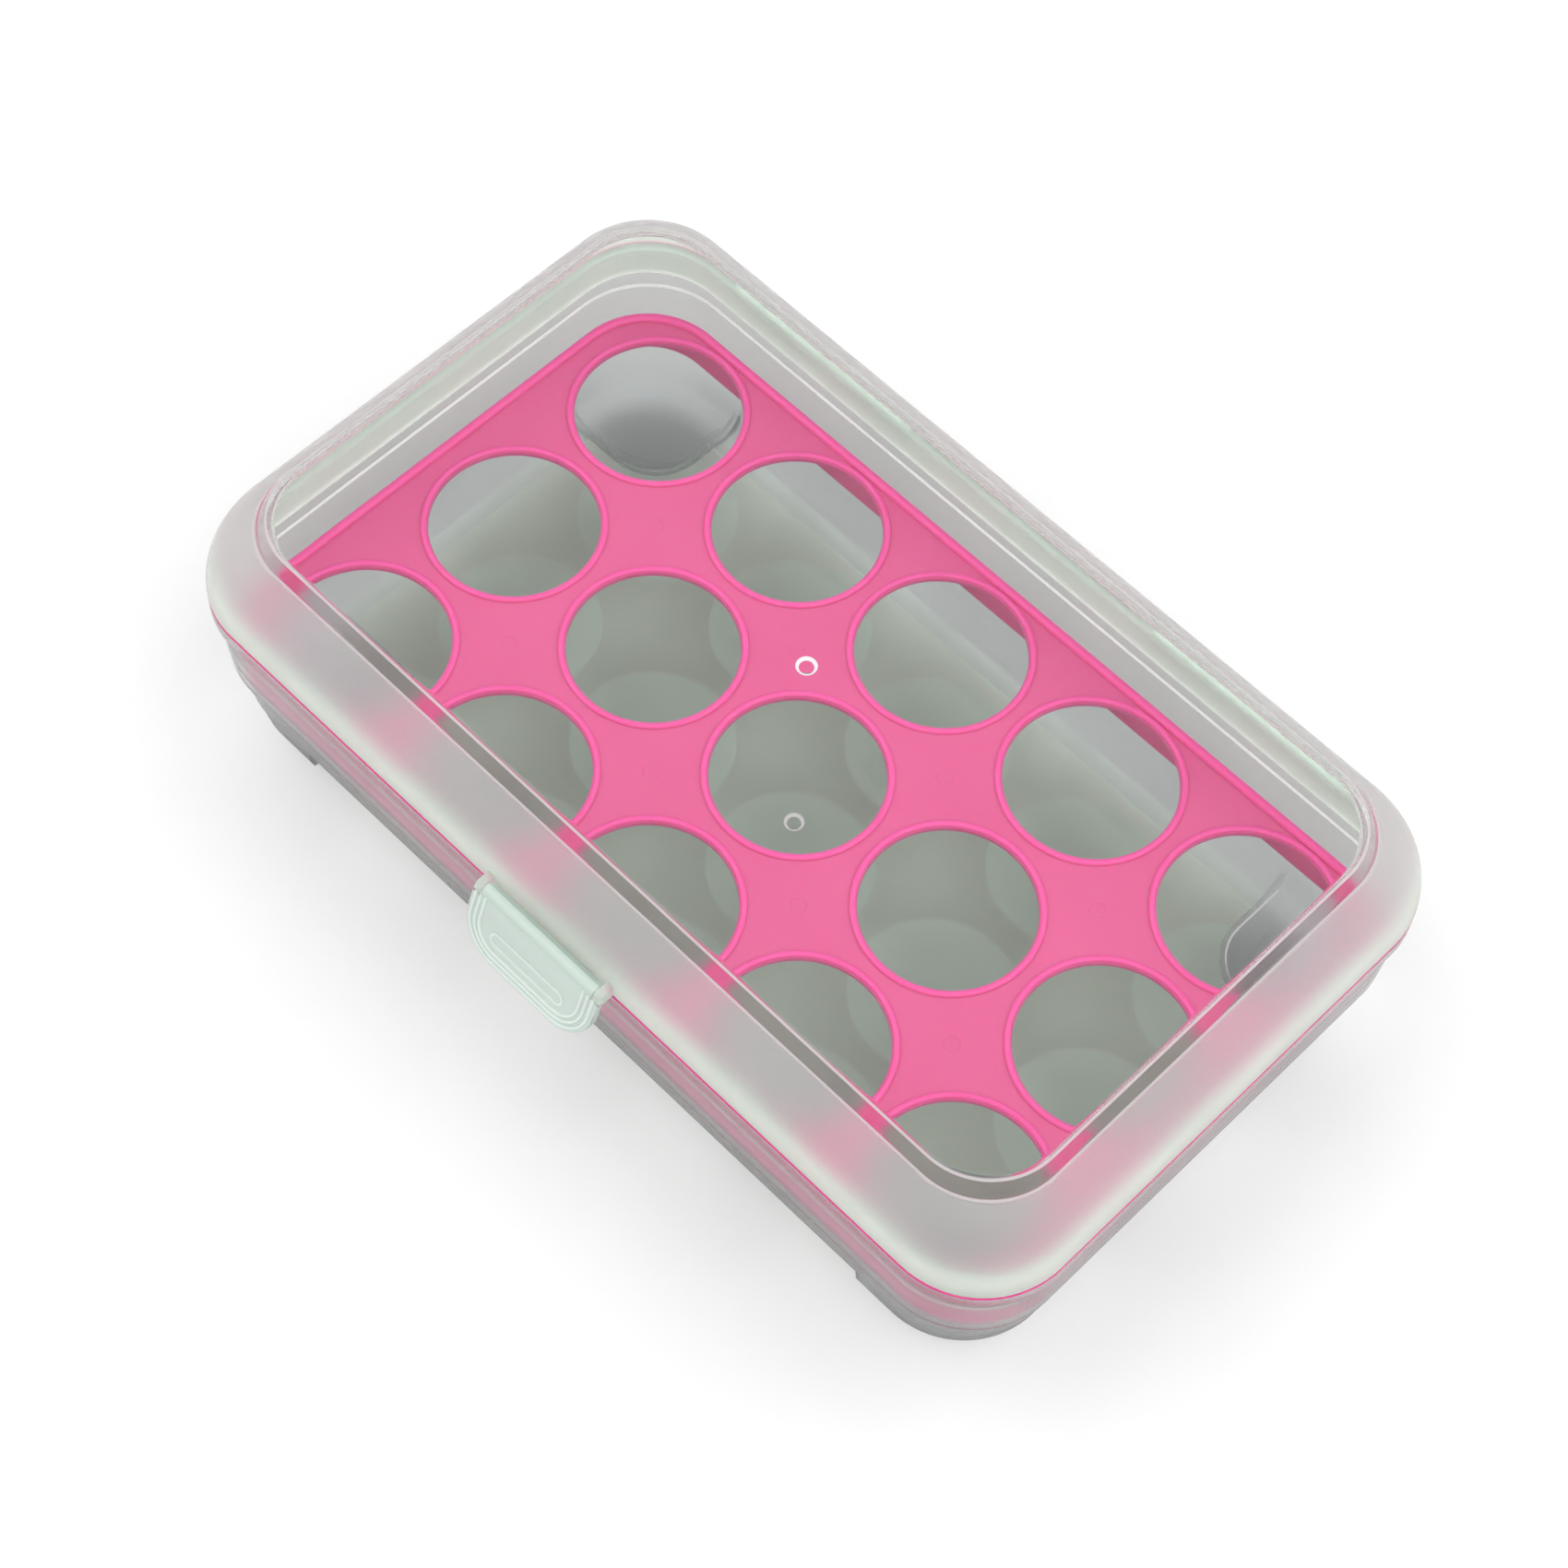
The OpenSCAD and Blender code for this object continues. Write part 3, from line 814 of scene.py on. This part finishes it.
def grip_pill():
    """The pill with its groove, sunk into the finger plate."""
    deselect()
    bpy.ops.mesh.primitive_cylinder_add(
        vertices=PILL_STEPS, radius=PILL_W / 2 * MM, depth=PILL_T * MM,
        location=latch_place, rotation=latch_turn,
    )
    pill = bpy.context.object
    bpy.ops.object.mode_set(mode="EDIT")
    mesh = bmesh.from_edit_mesh(pill.data)
    shift = Vector((0, -PILL_DOWN, BARREL_R + PILL_UP - PILL_T / 2)) * MM
    spread = Vector((PILL_L / 2 - PILL_W / 2, 0, 0)) * MM
    for vert in mesh.verts:
        side = (vert.co.x > OFF_MIDDLE) - (vert.co.x < -OFF_MIDDLE)
        vert.co += shift + side * spread
    bmesh.update_edit_mesh(pill.data)
    select_faces(lambda face: face.normal.z > FACES_UP)
    inset_steps(pill_shape)
    close_mesh()
    bpy.ops.object.transform_apply()
    return pill


combine(latch, grip_pill(), "UNION")
print("latch with its grip:", len(latch.data.polygons), "faces")

# %% [markdown]
# ## Band, barrel and leg
# A smooth band closes the ridges at the top. Behind the plate, the barrel clips over the lid's bar, and a
# leg with a small nose snaps under the tub's rim. The nose is a line of vertices that two bisect cuts make
# across the leg, pulled out a little. The bore, its mouth and the room for the ears are cut last, so they
# go through everything.

# %% Band and leg
BAND_H = 4.3
BAND_OUT = 0.25
BAND_IN = 0.3
BAND_LAP = 0.1
BAND_SOFT = 0.45
CATCH_W = 24
NOSE_OUT = 0.25
LEG_SOFT = 0.2
nose_z = RIM_Z - CLEAR
leg_face = LATCH_Y + BARREL_R
band = block(
    (-LATCH_W / 2 + BAND_IN, -BAND_H, BARREL_R - LATCH_T + BAND_LAP),
    (LATCH_W / 2 - BAND_IN, BAND_LAP, BARREL_R + BAND_OUT), (LATCH_Y, LATCH_Z), 90 - LATCH_TILT,
)
combine(latch, soften(band, BAND_SOFT), "UNION")
barrel_half = LATCH_W / 2 - EAR_T - CLEAR
combine(latch, bar_along_x(-barrel_half, barrel_half, LATCH_Y, LATCH_Z, BARREL_R), "UNION")
leg = block((-CATCH_W / 2, leg_face - LATCH_T, nose_z - LATCH_T), (CATCH_W / 2, leg_face, LATCH_Z))
bpy.ops.object.mode_set(mode="EDIT")
nose_line = Vector((0, MIDDLE_Y + leg_face, nose_z - LATCH_T / 2)) * MM
for cut_at in (nose_line, nose_line + Vector((0, 0, LATCH_T * MM))):
    bpy.ops.mesh.select_all(action="SELECT")
    bpy.ops.mesh.bisect(plane_co=cut_at, plane_no=(0, 0, 1))
select_where(lambda co: abs(co.z - nose_line.z) < NEAR and co.y > nose_line.y - NEAR)
bpy.ops.transform.translate(value=(0, NOSE_OUT * MM, 0))
close_mesh()
combine(latch, soften(leg, LEG_SOFT), "UNION")
print("latch with its leg:", len(latch.data.polygons), "faces")

# %% Bore of the latch
MOUTH_HALF = 0.75
combine(latch, bar_along_x(-LATCH_W, LATCH_W, LATCH_Y, LATCH_Z, LATCH_BAR_R + RUN_GAP), "DIFFERENCE")
latch_mouth = block(
    (-LATCH_W, 0, -MOUTH_HALF * LATCH_BAR_R), (LATCH_W, 2 * BARREL_R, MOUTH_HALF * LATCH_BAR_R),
    (LATCH_Y, LATCH_Z), MOUTH_TILT,
)
combine(latch, latch_mouth, "DIFFERENCE")
for x0, x1 in ((-LATCH_W, -barrel_half), (barrel_half, LATCH_W)):
    combine(latch, bar_along_x(x0, x1, LATCH_Y, LATCH_Z, BARREL_R + CLEAR), "DIFFERENCE")
tidy_cuts(latch)
print("latch:", len(latch.data.polygons), "faces")

# %% [markdown]
# ## Grain for every moulding
# Injection moulded plastic is never quite even: the tool leaves a fine grain, and the melt leaves slow,
# cloudy changes of tone. One node group makes both as plain values, and every material uses them for its
# colour and its roughness, and some for a very small bump.

# %% Grain node group
grain_layers = (("Grain", 1800, 2), ("Cloud", 32, 4))


def moulding_grain():
    """Fine grain and slow clouds, both as values from 0 to 1. A layer is (name, scale, detail)."""
    group = bpy.data.node_groups.new("moulding_grain", "ShaderNodeTree")
    place = group.nodes.new("ShaderNodeTexCoord")
    sizes = group.nodes.new("NodeGroupInput")
    out = group.nodes.new("NodeGroupOutput")
    for name, scale, detail in grain_layers:
        size = group.interface.new_socket(f"{name} Scale", in_out="INPUT", socket_type="NodeSocketFloat")
        size.default_value = scale
        group.interface.new_socket(name, in_out="OUTPUT", socket_type="NodeSocketFloat")
        noise = group.nodes.new("ShaderNodeTexNoise")
        noise.inputs["Detail"].default_value = detail
        group.links.new(place.outputs["Object"], noise.inputs["Vector"])
        group.links.new(sizes.outputs[f"{name} Scale"], noise.inputs["Scale"])
        group.links.new(noise.outputs["Fac"], out.inputs[name])
    return group


grain_group = moulding_grain()
print("node group:", grain_group.name)

# %% [markdown]
# ## Plastics
# All the plastics are one Principled shader with a range of colour and a range of roughness. A height mask
# lets one material change from the bottom of a piece to its top. Glass without caustics would keep its own
# inside dark, so the clear ones are plain transparent for shadow rays, which lets the light down to the
# tray and the floor.

# %% Mixing helpers


def blend(tree, factor, first, second):
    """A socket between two colours, or between two values. Each of the two is a constant or a socket."""
    colour = any(isinstance(side, tuple) or getattr(side, "type", "") == "RGBA" for side in (first, second))
    mix = tree.nodes.new("ShaderNodeMix")
    mix.data_type = "RGBA" if colour else "FLOAT"
    kind = "Color" if colour else "Float"
    sockets = {item.identifier: item for item in mix.inputs}
    tree.links.new(factor, sockets["Factor_Float"])
    for side, value in (("A", first), ("B", second)):
        socket = sockets[f"{side}_{kind}"]
        if isinstance(value, bpy.types.NodeSocket):
            tree.links.new(value, socket)
        else:
            socket.default_value = (*value, 1) if colour else value
    return next(item for item in mix.outputs if item.identifier == f"Result_{kind}")


def between(tree, value, low, high):
    """A socket that goes softly from 0 to 1 while a value in metres passes between two sizes in mm."""
    ramp = tree.nodes.new("ShaderNodeMapRange")
    ramp.interpolation_type = "SMOOTHSTEP"
    ramp.inputs["From Min"].default_value = low * MM
    ramp.inputs["From Max"].default_value = high * MM
    tree.links.new(value, ramp.inputs["Value"])
    return ramp.outputs["Result"]


def larger(tree, first, second):
    """A socket with the larger of two values."""
    choice = tree.nodes.new("ShaderNodeMath")
    choice.operation = "MAXIMUM"
    tree.links.new(first, choice.inputs[0])
    tree.links.new(second, choice.inputs[1])
    return choice.outputs["Value"]


def height_mask(tree, low, high):
    """A socket that goes from 0 to 1 between two heights in mm."""
    place = tree.nodes.new("ShaderNodeTexCoord")
    split = tree.nodes.new("ShaderNodeSeparateXYZ")
    tree.links.new(place.outputs["Object"], split.inputs["Vector"])
    return between(tree, split.outputs["Z"], low, high)


print("mixing helpers are ready")

# %% Plastic helpers
PLASTIC_IOR = 1.49
GRAIN_DEPTH = 0.02


def plastic(name, colours, roughness, bump=0, transmission=0, ior=PLASTIC_IOR):
    """A plastic with a range of colours over its clouds and a range of roughness over its grain."""
    material = bpy.data.materials.new(name)
    material.use_nodes = True
    tree = material.node_tree
    shader = tree.nodes["Principled BSDF"]
    shader.inputs["IOR"].default_value = ior
    shader.inputs["Transmission Weight"].default_value = transmission
    grain = tree.nodes.new("ShaderNodeGroup")
    grain.node_tree = grain_group
    tree.links.new(blend(tree, grain.outputs["Cloud"], *colours), shader.inputs["Base Color"])
    tree.links.new(blend(tree, grain.outputs["Grain"], *roughness), shader.inputs["Roughness"])
    if bump:
        relief = tree.nodes.new("ShaderNodeBump")
        relief.inputs["Strength"].default_value = bump
        relief.inputs["Distance"].default_value = GRAIN_DEPTH * MM
        tree.links.new(grain.outputs["Grain"], relief.inputs["Height"])
        tree.links.new(relief.outputs["Normal"], shader.inputs["Normal"])
    return material


def tint_where(material, mask, low, high):
    """Blends the colour of a plastic by a mask, from low to high. None stands for the colour it has."""
    tree = material.node_tree
    base_colour = tree.nodes["Principled BSDF"].inputs["Base Color"]
    own = base_colour.links[0].from_socket
    tree.links.new(blend(tree, mask, low or own, high or own), base_colour)


def shade_by_height(material, low, high, low_colour, low_roughness):
    """Gives a plastic another colour and roughness below, with a soft change between two heights in mm."""
    tree = material.node_tree
    mask = height_mask(tree, low, high)
    tint_where(material, mask, low_colour, None)
    roughness = tree.nodes["Principled BSDF"].inputs["Roughness"]
    tree.links.new(blend(tree, mask, low_roughness, roughness.links[0].from_socket), roughness)


def let_light_in(material, tint):
    """Makes a clear plastic transparent for shadow rays."""
    tree = material.node_tree
    rays = tree.nodes.new("ShaderNodeLightPath")
    through = tree.nodes.new("ShaderNodeBsdfTransparent")
    through.inputs["Color"].default_value = (*tint, 1)
    choice = tree.nodes.new("ShaderNodeMixShader")
    tree.links.new(rays.outputs["Is Shadow Ray"], choice.inputs["Fac"])
    tree.links.new(tree.nodes["Principled BSDF"].outputs["BSDF"], choice.inputs[1])
    tree.links.new(through.outputs["BSDF"], choice.inputs[2])
    tree.links.new(choice.outputs["Shader"], tree.nodes["Material Output"].inputs["Surface"])


print("plastic helpers are ready")

# %% [markdown]
# ## Clear plastics
# The shells are one plastic with several finishes: a polished panel on a duller step, a frosted side with a
# painted pale highlight towards the lip, and a tub with a grey tint. Thin edges of real plastic gather
# light,
# and here that light is painted: pale and soft highlight lines on the brinks and the step's foot, and a red
# glow of the tray on the two edges at the gap. Neighbouring finishes of the lid share one index of
# refraction, because a jump between two of them draws a black line.

# %% Clear plastics
LID_IOR = 1.3
WALL_IOR = 1.2
LIP_PAINTED_HIGHLIGHT = (LIP_Z + 2, LIP_Z + 13)
FOOT_DULL = (FLOOR_Z - 2, LEDGE_Z)
CLEAR_SHADOW = (0.93, 0.945, 0.935)

polished = plastic(
    "clear_polished", ((0.95, 0.975, 0.965), (0.975, 0.99, 0.98)), (0.015, 0.05),
    transmission=1, ior=LID_IOR,
)
step_clear = plastic(
    "clear_step", ((0.86, 0.76, 0.79), (0.92, 0.82, 0.85)), (0.16, 0.22), transmission=1, ior=LID_IOR,
)
frosted = plastic(
    "clear_frosted", ((0.76, 0.745, 0.75), (0.82, 0.805, 0.81)), (0.38, 0.46),
    bump=0.02, transmission=0.8, ior=LID_IOR,
)
# Painted highlight: below these heights the frosted side turns a pale mint white, and rougher, towards the
# lip.
shade_by_height(frosted, *LIP_PAINTED_HIGHLIGHT, low_colour=(0.92, 1.0, 0.93), low_roughness=0.5)
tub_wall = plastic(
    "tub_wall", ((0.53, 0.525, 0.52), (0.59, 0.58, 0.58)), (0.12, 0.18),
    bump=0.02, transmission=1, ior=WALL_IOR,
)
shade_by_height(tub_wall, *FOOT_DULL, low_colour=(0.55, 0.56, 0.565), low_roughness=0.55)
tub_floor = plastic("tub_floor", ((0.63, 0.69, 0.63), (0.68, 0.73, 0.68)), (0.02, 0.06), transmission=1)
# Painted highlight: a pale milky plastic for thin lines on the skirt's edge, the rebate, the feet's brinks
# and the gate marks.
painted_highlight_edge = plastic("painted_highlight_edge", ((0.86, 0.85, 0.85), (0.92, 0.91, 0.91)), (0.3, 0.4), transmission=0.15)
# Painted soft light line: a rough, partly milky grey plastic for the step's foot and the panel's brink.
soft_painted_highlight = plastic(
    "soft_painted_highlight", ((0.60, 0.55, 0.565), (0.68, 0.63, 0.645)), (0.4, 0.5), transmission=0.3, ior=LID_IOR,
)
# Painted glow: the tray's red, put as a thin line on the two edges at the gap.
painted_red_glow = plastic("painted_red_glow", ((0.75, 0.02, 0.22), (0.85, 0.05, 0.30)), (0.1, 0.16), transmission=0.4)
clear_plastics = (polished, step_clear, frosted, tub_wall, tub_floor, painted_highlight_edge, soft_painted_highlight, painted_red_glow)
for clear in clear_plastics:
    let_light_in(clear, CLEAR_SHADOW)
print("clear plastics:", [m.name for m in clear_plastics])

# %% [markdown]
# ## Pink and mint
# The tray is a pink that lets some light through, so its beads look deeper than its flat. The latch is
# milky, with painted shade in its grooves and a painted highlight on its raised crests. Ridges are told
# from the grooves by their height over the plate: a Mapping node turns the coordinates until Z stands
# upright on the plate, and the colour follows that Z.

# %% Pink plastic
BEAD_FOOT = 0.1
BEAD_CREST = 0.6
GLOW_DEPTH = 2.5
pink = plastic("pink_plastic", ((0.72, 0.10, 0.29), (0.79, 0.135, 0.335)), (0.3, 0.42), bump=0.15)
pink_shader = pink.node_tree.nodes["Principled BSDF"]
pink_shader.inputs["Subsurface Weight"].default_value = 0.8
pink_shader.inputs["Subsurface Radius"].default_value = (1, 0.35, 0.55)
pink_shader.inputs["Subsurface Scale"].default_value = GLOW_DEPTH * MM
bead_mask = height_mask(pink.node_tree, TRAY_TOP + BEAD_FOOT, TRAY_TOP + BEAD_CREST)
tint_where(pink, bead_mask, None, (0.9, 0.10, 0.37))
print("tray plastic:", pink.name)

# %% Mint plastic
MINT_SHADOW = (0.75, 0.82, 0.78)
GROOVE_TOP = (BARREL_R - 0.1, BARREL_R + 0.18)
GROOVE_BOTTOM = (BARREL_R - 0.2, BARREL_R - 0.4)
GROOVE_BACK = (-PILL_DOWN + PILL_W / 2, -PILL_DOWN + PILL_W)
RIDGE_CREST = (BARREL_R + 0.3, BARREL_R + 0.55)
mint = plastic(
    "milky_mint", ((0.64, 0.73, 0.68), (0.70, 0.78, 0.73)), (0.28, 0.38), bump=0.1, transmission=0.35,
)
let_light_in(mint, MINT_SHADOW)
mint_tree = mint.node_tree
place = mint_tree.nodes.new("ShaderNodeTexCoord")
upright = mint_tree.nodes.new("ShaderNodeMapping")
upright.vector_type = "TEXTURE"
upright.inputs["Location"].default_value = latch_place
upright.inputs["Rotation"].default_value = latch_turn
split = mint_tree.nodes.new("ShaderNodeSeparateXYZ")
mint_tree.links.new(place.outputs["Object"], upright.inputs["Vector"])
mint_tree.links.new(upright.outputs["Vector"], split.inputs["Vector"])
over_plate = split.outputs["Z"]
# Painted shade: the grooves between the ridges and in the pill are darkened.
outside_groove_shade = larger(
    mint_tree, between(mint_tree, over_plate, *GROOVE_TOP), between(mint_tree, over_plate, *GROOVE_BOTTOM),
)
outside_groove_shade = larger(mint_tree, outside_groove_shade, between(mint_tree, split.outputs["Y"], *GROOVE_BACK))
tint_where(mint, outside_groove_shade, (0.34, 0.36, 0.36), None)
# Painted highlight: the raised crests are made paler.
tint_where(mint, between(mint_tree, over_plate, *RIDGE_CREST), None, (0.88, 0.95, 0.91))
print("latch plastic:", mint.name)

# %% [markdown]
# ## Where each finish goes
# On a real mould each finish covers a zone with a clear border. The zones could be painted by hand, but
# here a face gets its finish by its place: in or out of the outlines of the panel and its step, at the
# gap, on a brink or on the floor. At the gap, on the brinks and on the gate marks the finish is painted
# light: a red glow and pale highlight lines.

# %% Zones of the lid and the tub
EDGE_LINE = 0.5
EDGE_SLACK = 0.1
RIM_SLACK = 0.05
GATE_LINE = 0.8
STEP_RISE = 0.5


def outline_at(inset):
    """The outline of the lid at an inset."""
    return (HALF_L - inset, HALF_W - inset, lid_corner(inset))


step_foot_ring = outline_at(panel_in)
step_ring = outline_at(panel_in + STEP_RISE)
panel_ring = outline_at(panel_edge)
rim_ring = (HALF_L, HALF_W, RIM_R)


def on_edge_line(polygon, low, high):
    """Tells whether a face is part of the thin rounded edge at the gap between lid and tub."""
    beyond_rim = ring_distance(polygon.center, rim_ring) / MM
    return -EDGE_LINE < beyond_rim < RIM_SLACK and low < polygon.center.z / MM < high


def on_gate_mark(polygon):
    """Tells whether a face is part of the rim of a gate mark."""
    off_centre = math.hypot(polygon.center.x, polygon.center.y - MIDDLE_Y * MM)
    return GATE_LINE * GATE_R * MM < off_centre < GATE_R * MM


print("outlines for the zones are ready")

# %% Finish of the lid
SKIRT_LINE = 0.45
STEP_LINE = 0.45
STEP_LINE_Z = 0.15
STEP_LINE_H = 0.2
BRINK_IN = 0.8
BRINK_LOW = 0.22
BRINK_HIGH = 0.005


def lid_finish(polygon):
    """The plastic for a face of the lid."""
    height = polygon.center.z / MM
    past_foot, past_step, past_panel = (
        ring_distance(polygon.center, ring) / MM for ring in (step_foot_ring, step_ring, panel_ring)
    )
    # Painted red glow on the lid's edge at the gap.
    if on_edge_line(polygon, LIP_Z - EDGE_SLACK, LIP_Z + EDGE_LINE):
        return painted_red_glow
    # Painted highlight lines on the skirt's bottom edge and on the rim of the gate mark.
    if past_step > 0 and height < skirt_low + SKIRT_LINE or on_gate_mark(polygon):
        return painted_highlight_edge
    # Painted soft light lines at the step's foot and along the panel's brink.
    on_step_foot = abs(past_foot) < STEP_LINE and abs(height - SHOULDER_Z - STEP_LINE_Z) < STEP_LINE_H
    on_brink = past_panel > -BRINK_IN and TOP_Z - BRINK_LOW < height < TOP_Z - BRINK_HIGH
    if on_step_foot or on_brink:
        return soft_painted_highlight
    if past_panel < -BRINK_IN:
        return polished
    return step_clear if past_step < 0 else frosted


print("lid zones start", round(panel_in, 2), "mm inside the rim")

# %% Finish of the tub
REBATE_LINE = 0.35
LEVEL_TURN = 0.2
FOOT_LINE = 0.5
FOOT_LINE_END = 0.01
FOOT_LINE_TURN = 0.05
FLOOR_SLACK = 0.1


def on_foot_line(polygon):
    """Tells whether a face is part of the rounded brink where the floor goes down into a foot."""
    from_middle = polygon.center - Vector((0, MIDDLE_Y * MM, 0))
    outwards = polygon.normal.xy.dot(from_middle.xy) > 0
    at_brink = FLOOR_Z - FOOT_LINE < polygon.center.z / MM < FLOOR_Z - FOOT_LINE_END
    return outwards and polygon.normal.z > FOOT_LINE_TURN and at_brink


def tub_finish(polygon):
    """The plastic for a face of the tub."""
    height = polygon.center.z / MM
    slope = abs(polygon.normal.z)
    # Painted red glow on the tub's edge at the gap.
    if on_edge_line(polygon, RIM_TOP - EDGE_LINE, RIM_TOP + EDGE_SLACK):
        return painted_red_glow
    # Painted highlight lines on the rebate, on the brinks of the feet and on the floor's gate mark.
    on_rebate = abs(height - REBATE_Z) < REBATE_LINE and slope > LEVEL_TURN
    if on_rebate or on_foot_line(polygon) or on_gate_mark(polygon):
        return painted_highlight_edge
    on_floor = FOOT_H - FLOOR_SLACK < height < FLOOR_Z + FLOOR_SLACK and slope > FACES_UP
    return tub_floor if on_floor else tub_wall


print("tub floor lies at", round(FLOOR_Z, 2), "mm")

# %% [markdown]
# ## Dressing the pieces
# Every piece takes its plastics, smooth shading where its faces meet at a low angle, and its place in the
# part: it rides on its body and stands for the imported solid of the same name.

# %% Finishes and bodies
SMOOTH_ANGLE = 35


def dress(piece, node, materials, finish=None):
    """Gives a piece its materials, smooth shading and its place in the part."""
    for material in materials:
        piece.data.materials.append(material)
    if finish:
        for polygon in piece.data.polygons:
            polygon.material_index = materials.index(finish(polygon))
    activate(piece)
    bpy.ops.object.shade_smooth_by_angle(angle=math.radians(SMOOTH_ANGLE))
    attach(piece, node)
    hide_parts(node)
    print(piece.name, "for", node, "with", [m.name for m in materials])


lid_plastics = [frosted, polished, step_clear, painted_red_glow, painted_highlight_edge, soft_painted_highlight]
dress(lid, "lid", lid_plastics, lid_finish)
dress(base, "base", [tub_wall, tub_floor, painted_red_glow, painted_highlight_edge], tub_finish)
dress(tray, "egg_tray", [pink])
dress(latch, "latch", [mint])

# %% [markdown]
# ## The studio
# The box stands on a pale floor under an even, bright sky. Three broad softboxes stand round it and shine
# through the clear shells, and a small one puts a glint on the near corner. None stands where the camera
# would see its mirror image in the panel.

# %% Floor and sky
FLOOR_SIZE = 6
FLOOR_DROP = 0.5
SKY_STRENGTH = 0.85
deselect()
bpy.ops.mesh.primitive_plane_add(size=FLOOR_SIZE, location=(0, 0, -FLOOR_DROP * MM))
floor = bpy.context.object
floor.name = "studio_floor"
paper = plastic("studio_paper", ((0.88, 0.88, 0.88), (0.91, 0.91, 0.91)), (0.6, 0.7), bump=0.05)
floor.data.materials.append(paper)

world = bpy.data.worlds.new("studio_sky")
bpy.context.scene.world = world
world.use_nodes = True
sky = world.node_tree.nodes["Background"]
sky.inputs["Color"].default_value = (1, 1, 1, 1)
sky.inputs["Strength"].default_value = SKY_STRENGTH
print("floor:", FLOOR_SIZE, "m wide, sky strength:", SKY_STRENGTH)

# %% Softboxes
LIGHT_AIM = Vector((0, 0, 0.04))
softboxes = (
    ("left_softbox", (-0.8, -0.5, 1.0), 1.0, 4.5),
    ("right_softbox", (0.95, 0.0, 1.0), 1.0, 3.5),
    ("back_softbox", (0.55, 0.95, 1.0), 1.0, 3.5),
    ("corner_softbox", (0.5, -0.7, 0.8), 0.25, 1),
)


def softbox(name, place, size, energy):
    """A square lamp that looks at the box."""
    deselect()
    aim = LIGHT_AIM - Vector(place)
    bpy.ops.object.light_add(type="AREA", location=place, rotation=aim.to_track_quat("-Z", "Y").to_euler())
    lamp = bpy.context.object
    lamp.name = name
    lamp.data.size = size
    lamp.data.energy = energy


for settings in softboxes:
    softbox(*settings)
print("softboxes:", [settings[0] for settings in softboxes])

# %% [markdown]
# ## The camera
# The camera looks down on the near corner, at the angle of the product photo. Its three directions are
# right, down and forward. Blender's own camera looks along its minus Z with Y up, so two of them change
# sign.

# %% Camera
CAMERA_PLACE = Vector((0.2379, -0.2715, 0.663))
CAMERA_RIGHT = Vector((0.7065, 0.7068, 0.0362))
CAMERA_DOWN = Vector((0.6281, -0.6026, -0.4922))
CAMERA_AHEAD = Vector((-0.3261, 0.3705, -0.8697))
SENSOR_W = 36
LENS = 77.79
bpy.ops.object.camera_add()
camera = bpy.context.object
camera.data.sensor_width = SENSOR_W
camera.data.lens = LENS
turn = Matrix((CAMERA_RIGHT, -CAMERA_DOWN, -CAMERA_AHEAD)).transposed().to_4x4()
camera.matrix_world = Matrix.Translation(CAMERA_PLACE) @ turn
bpy.context.scene.camera = camera
bpy.context.scene.view_settings.view_transform = "Standard"
print("camera looks along", CAMERA_AHEAD[:])
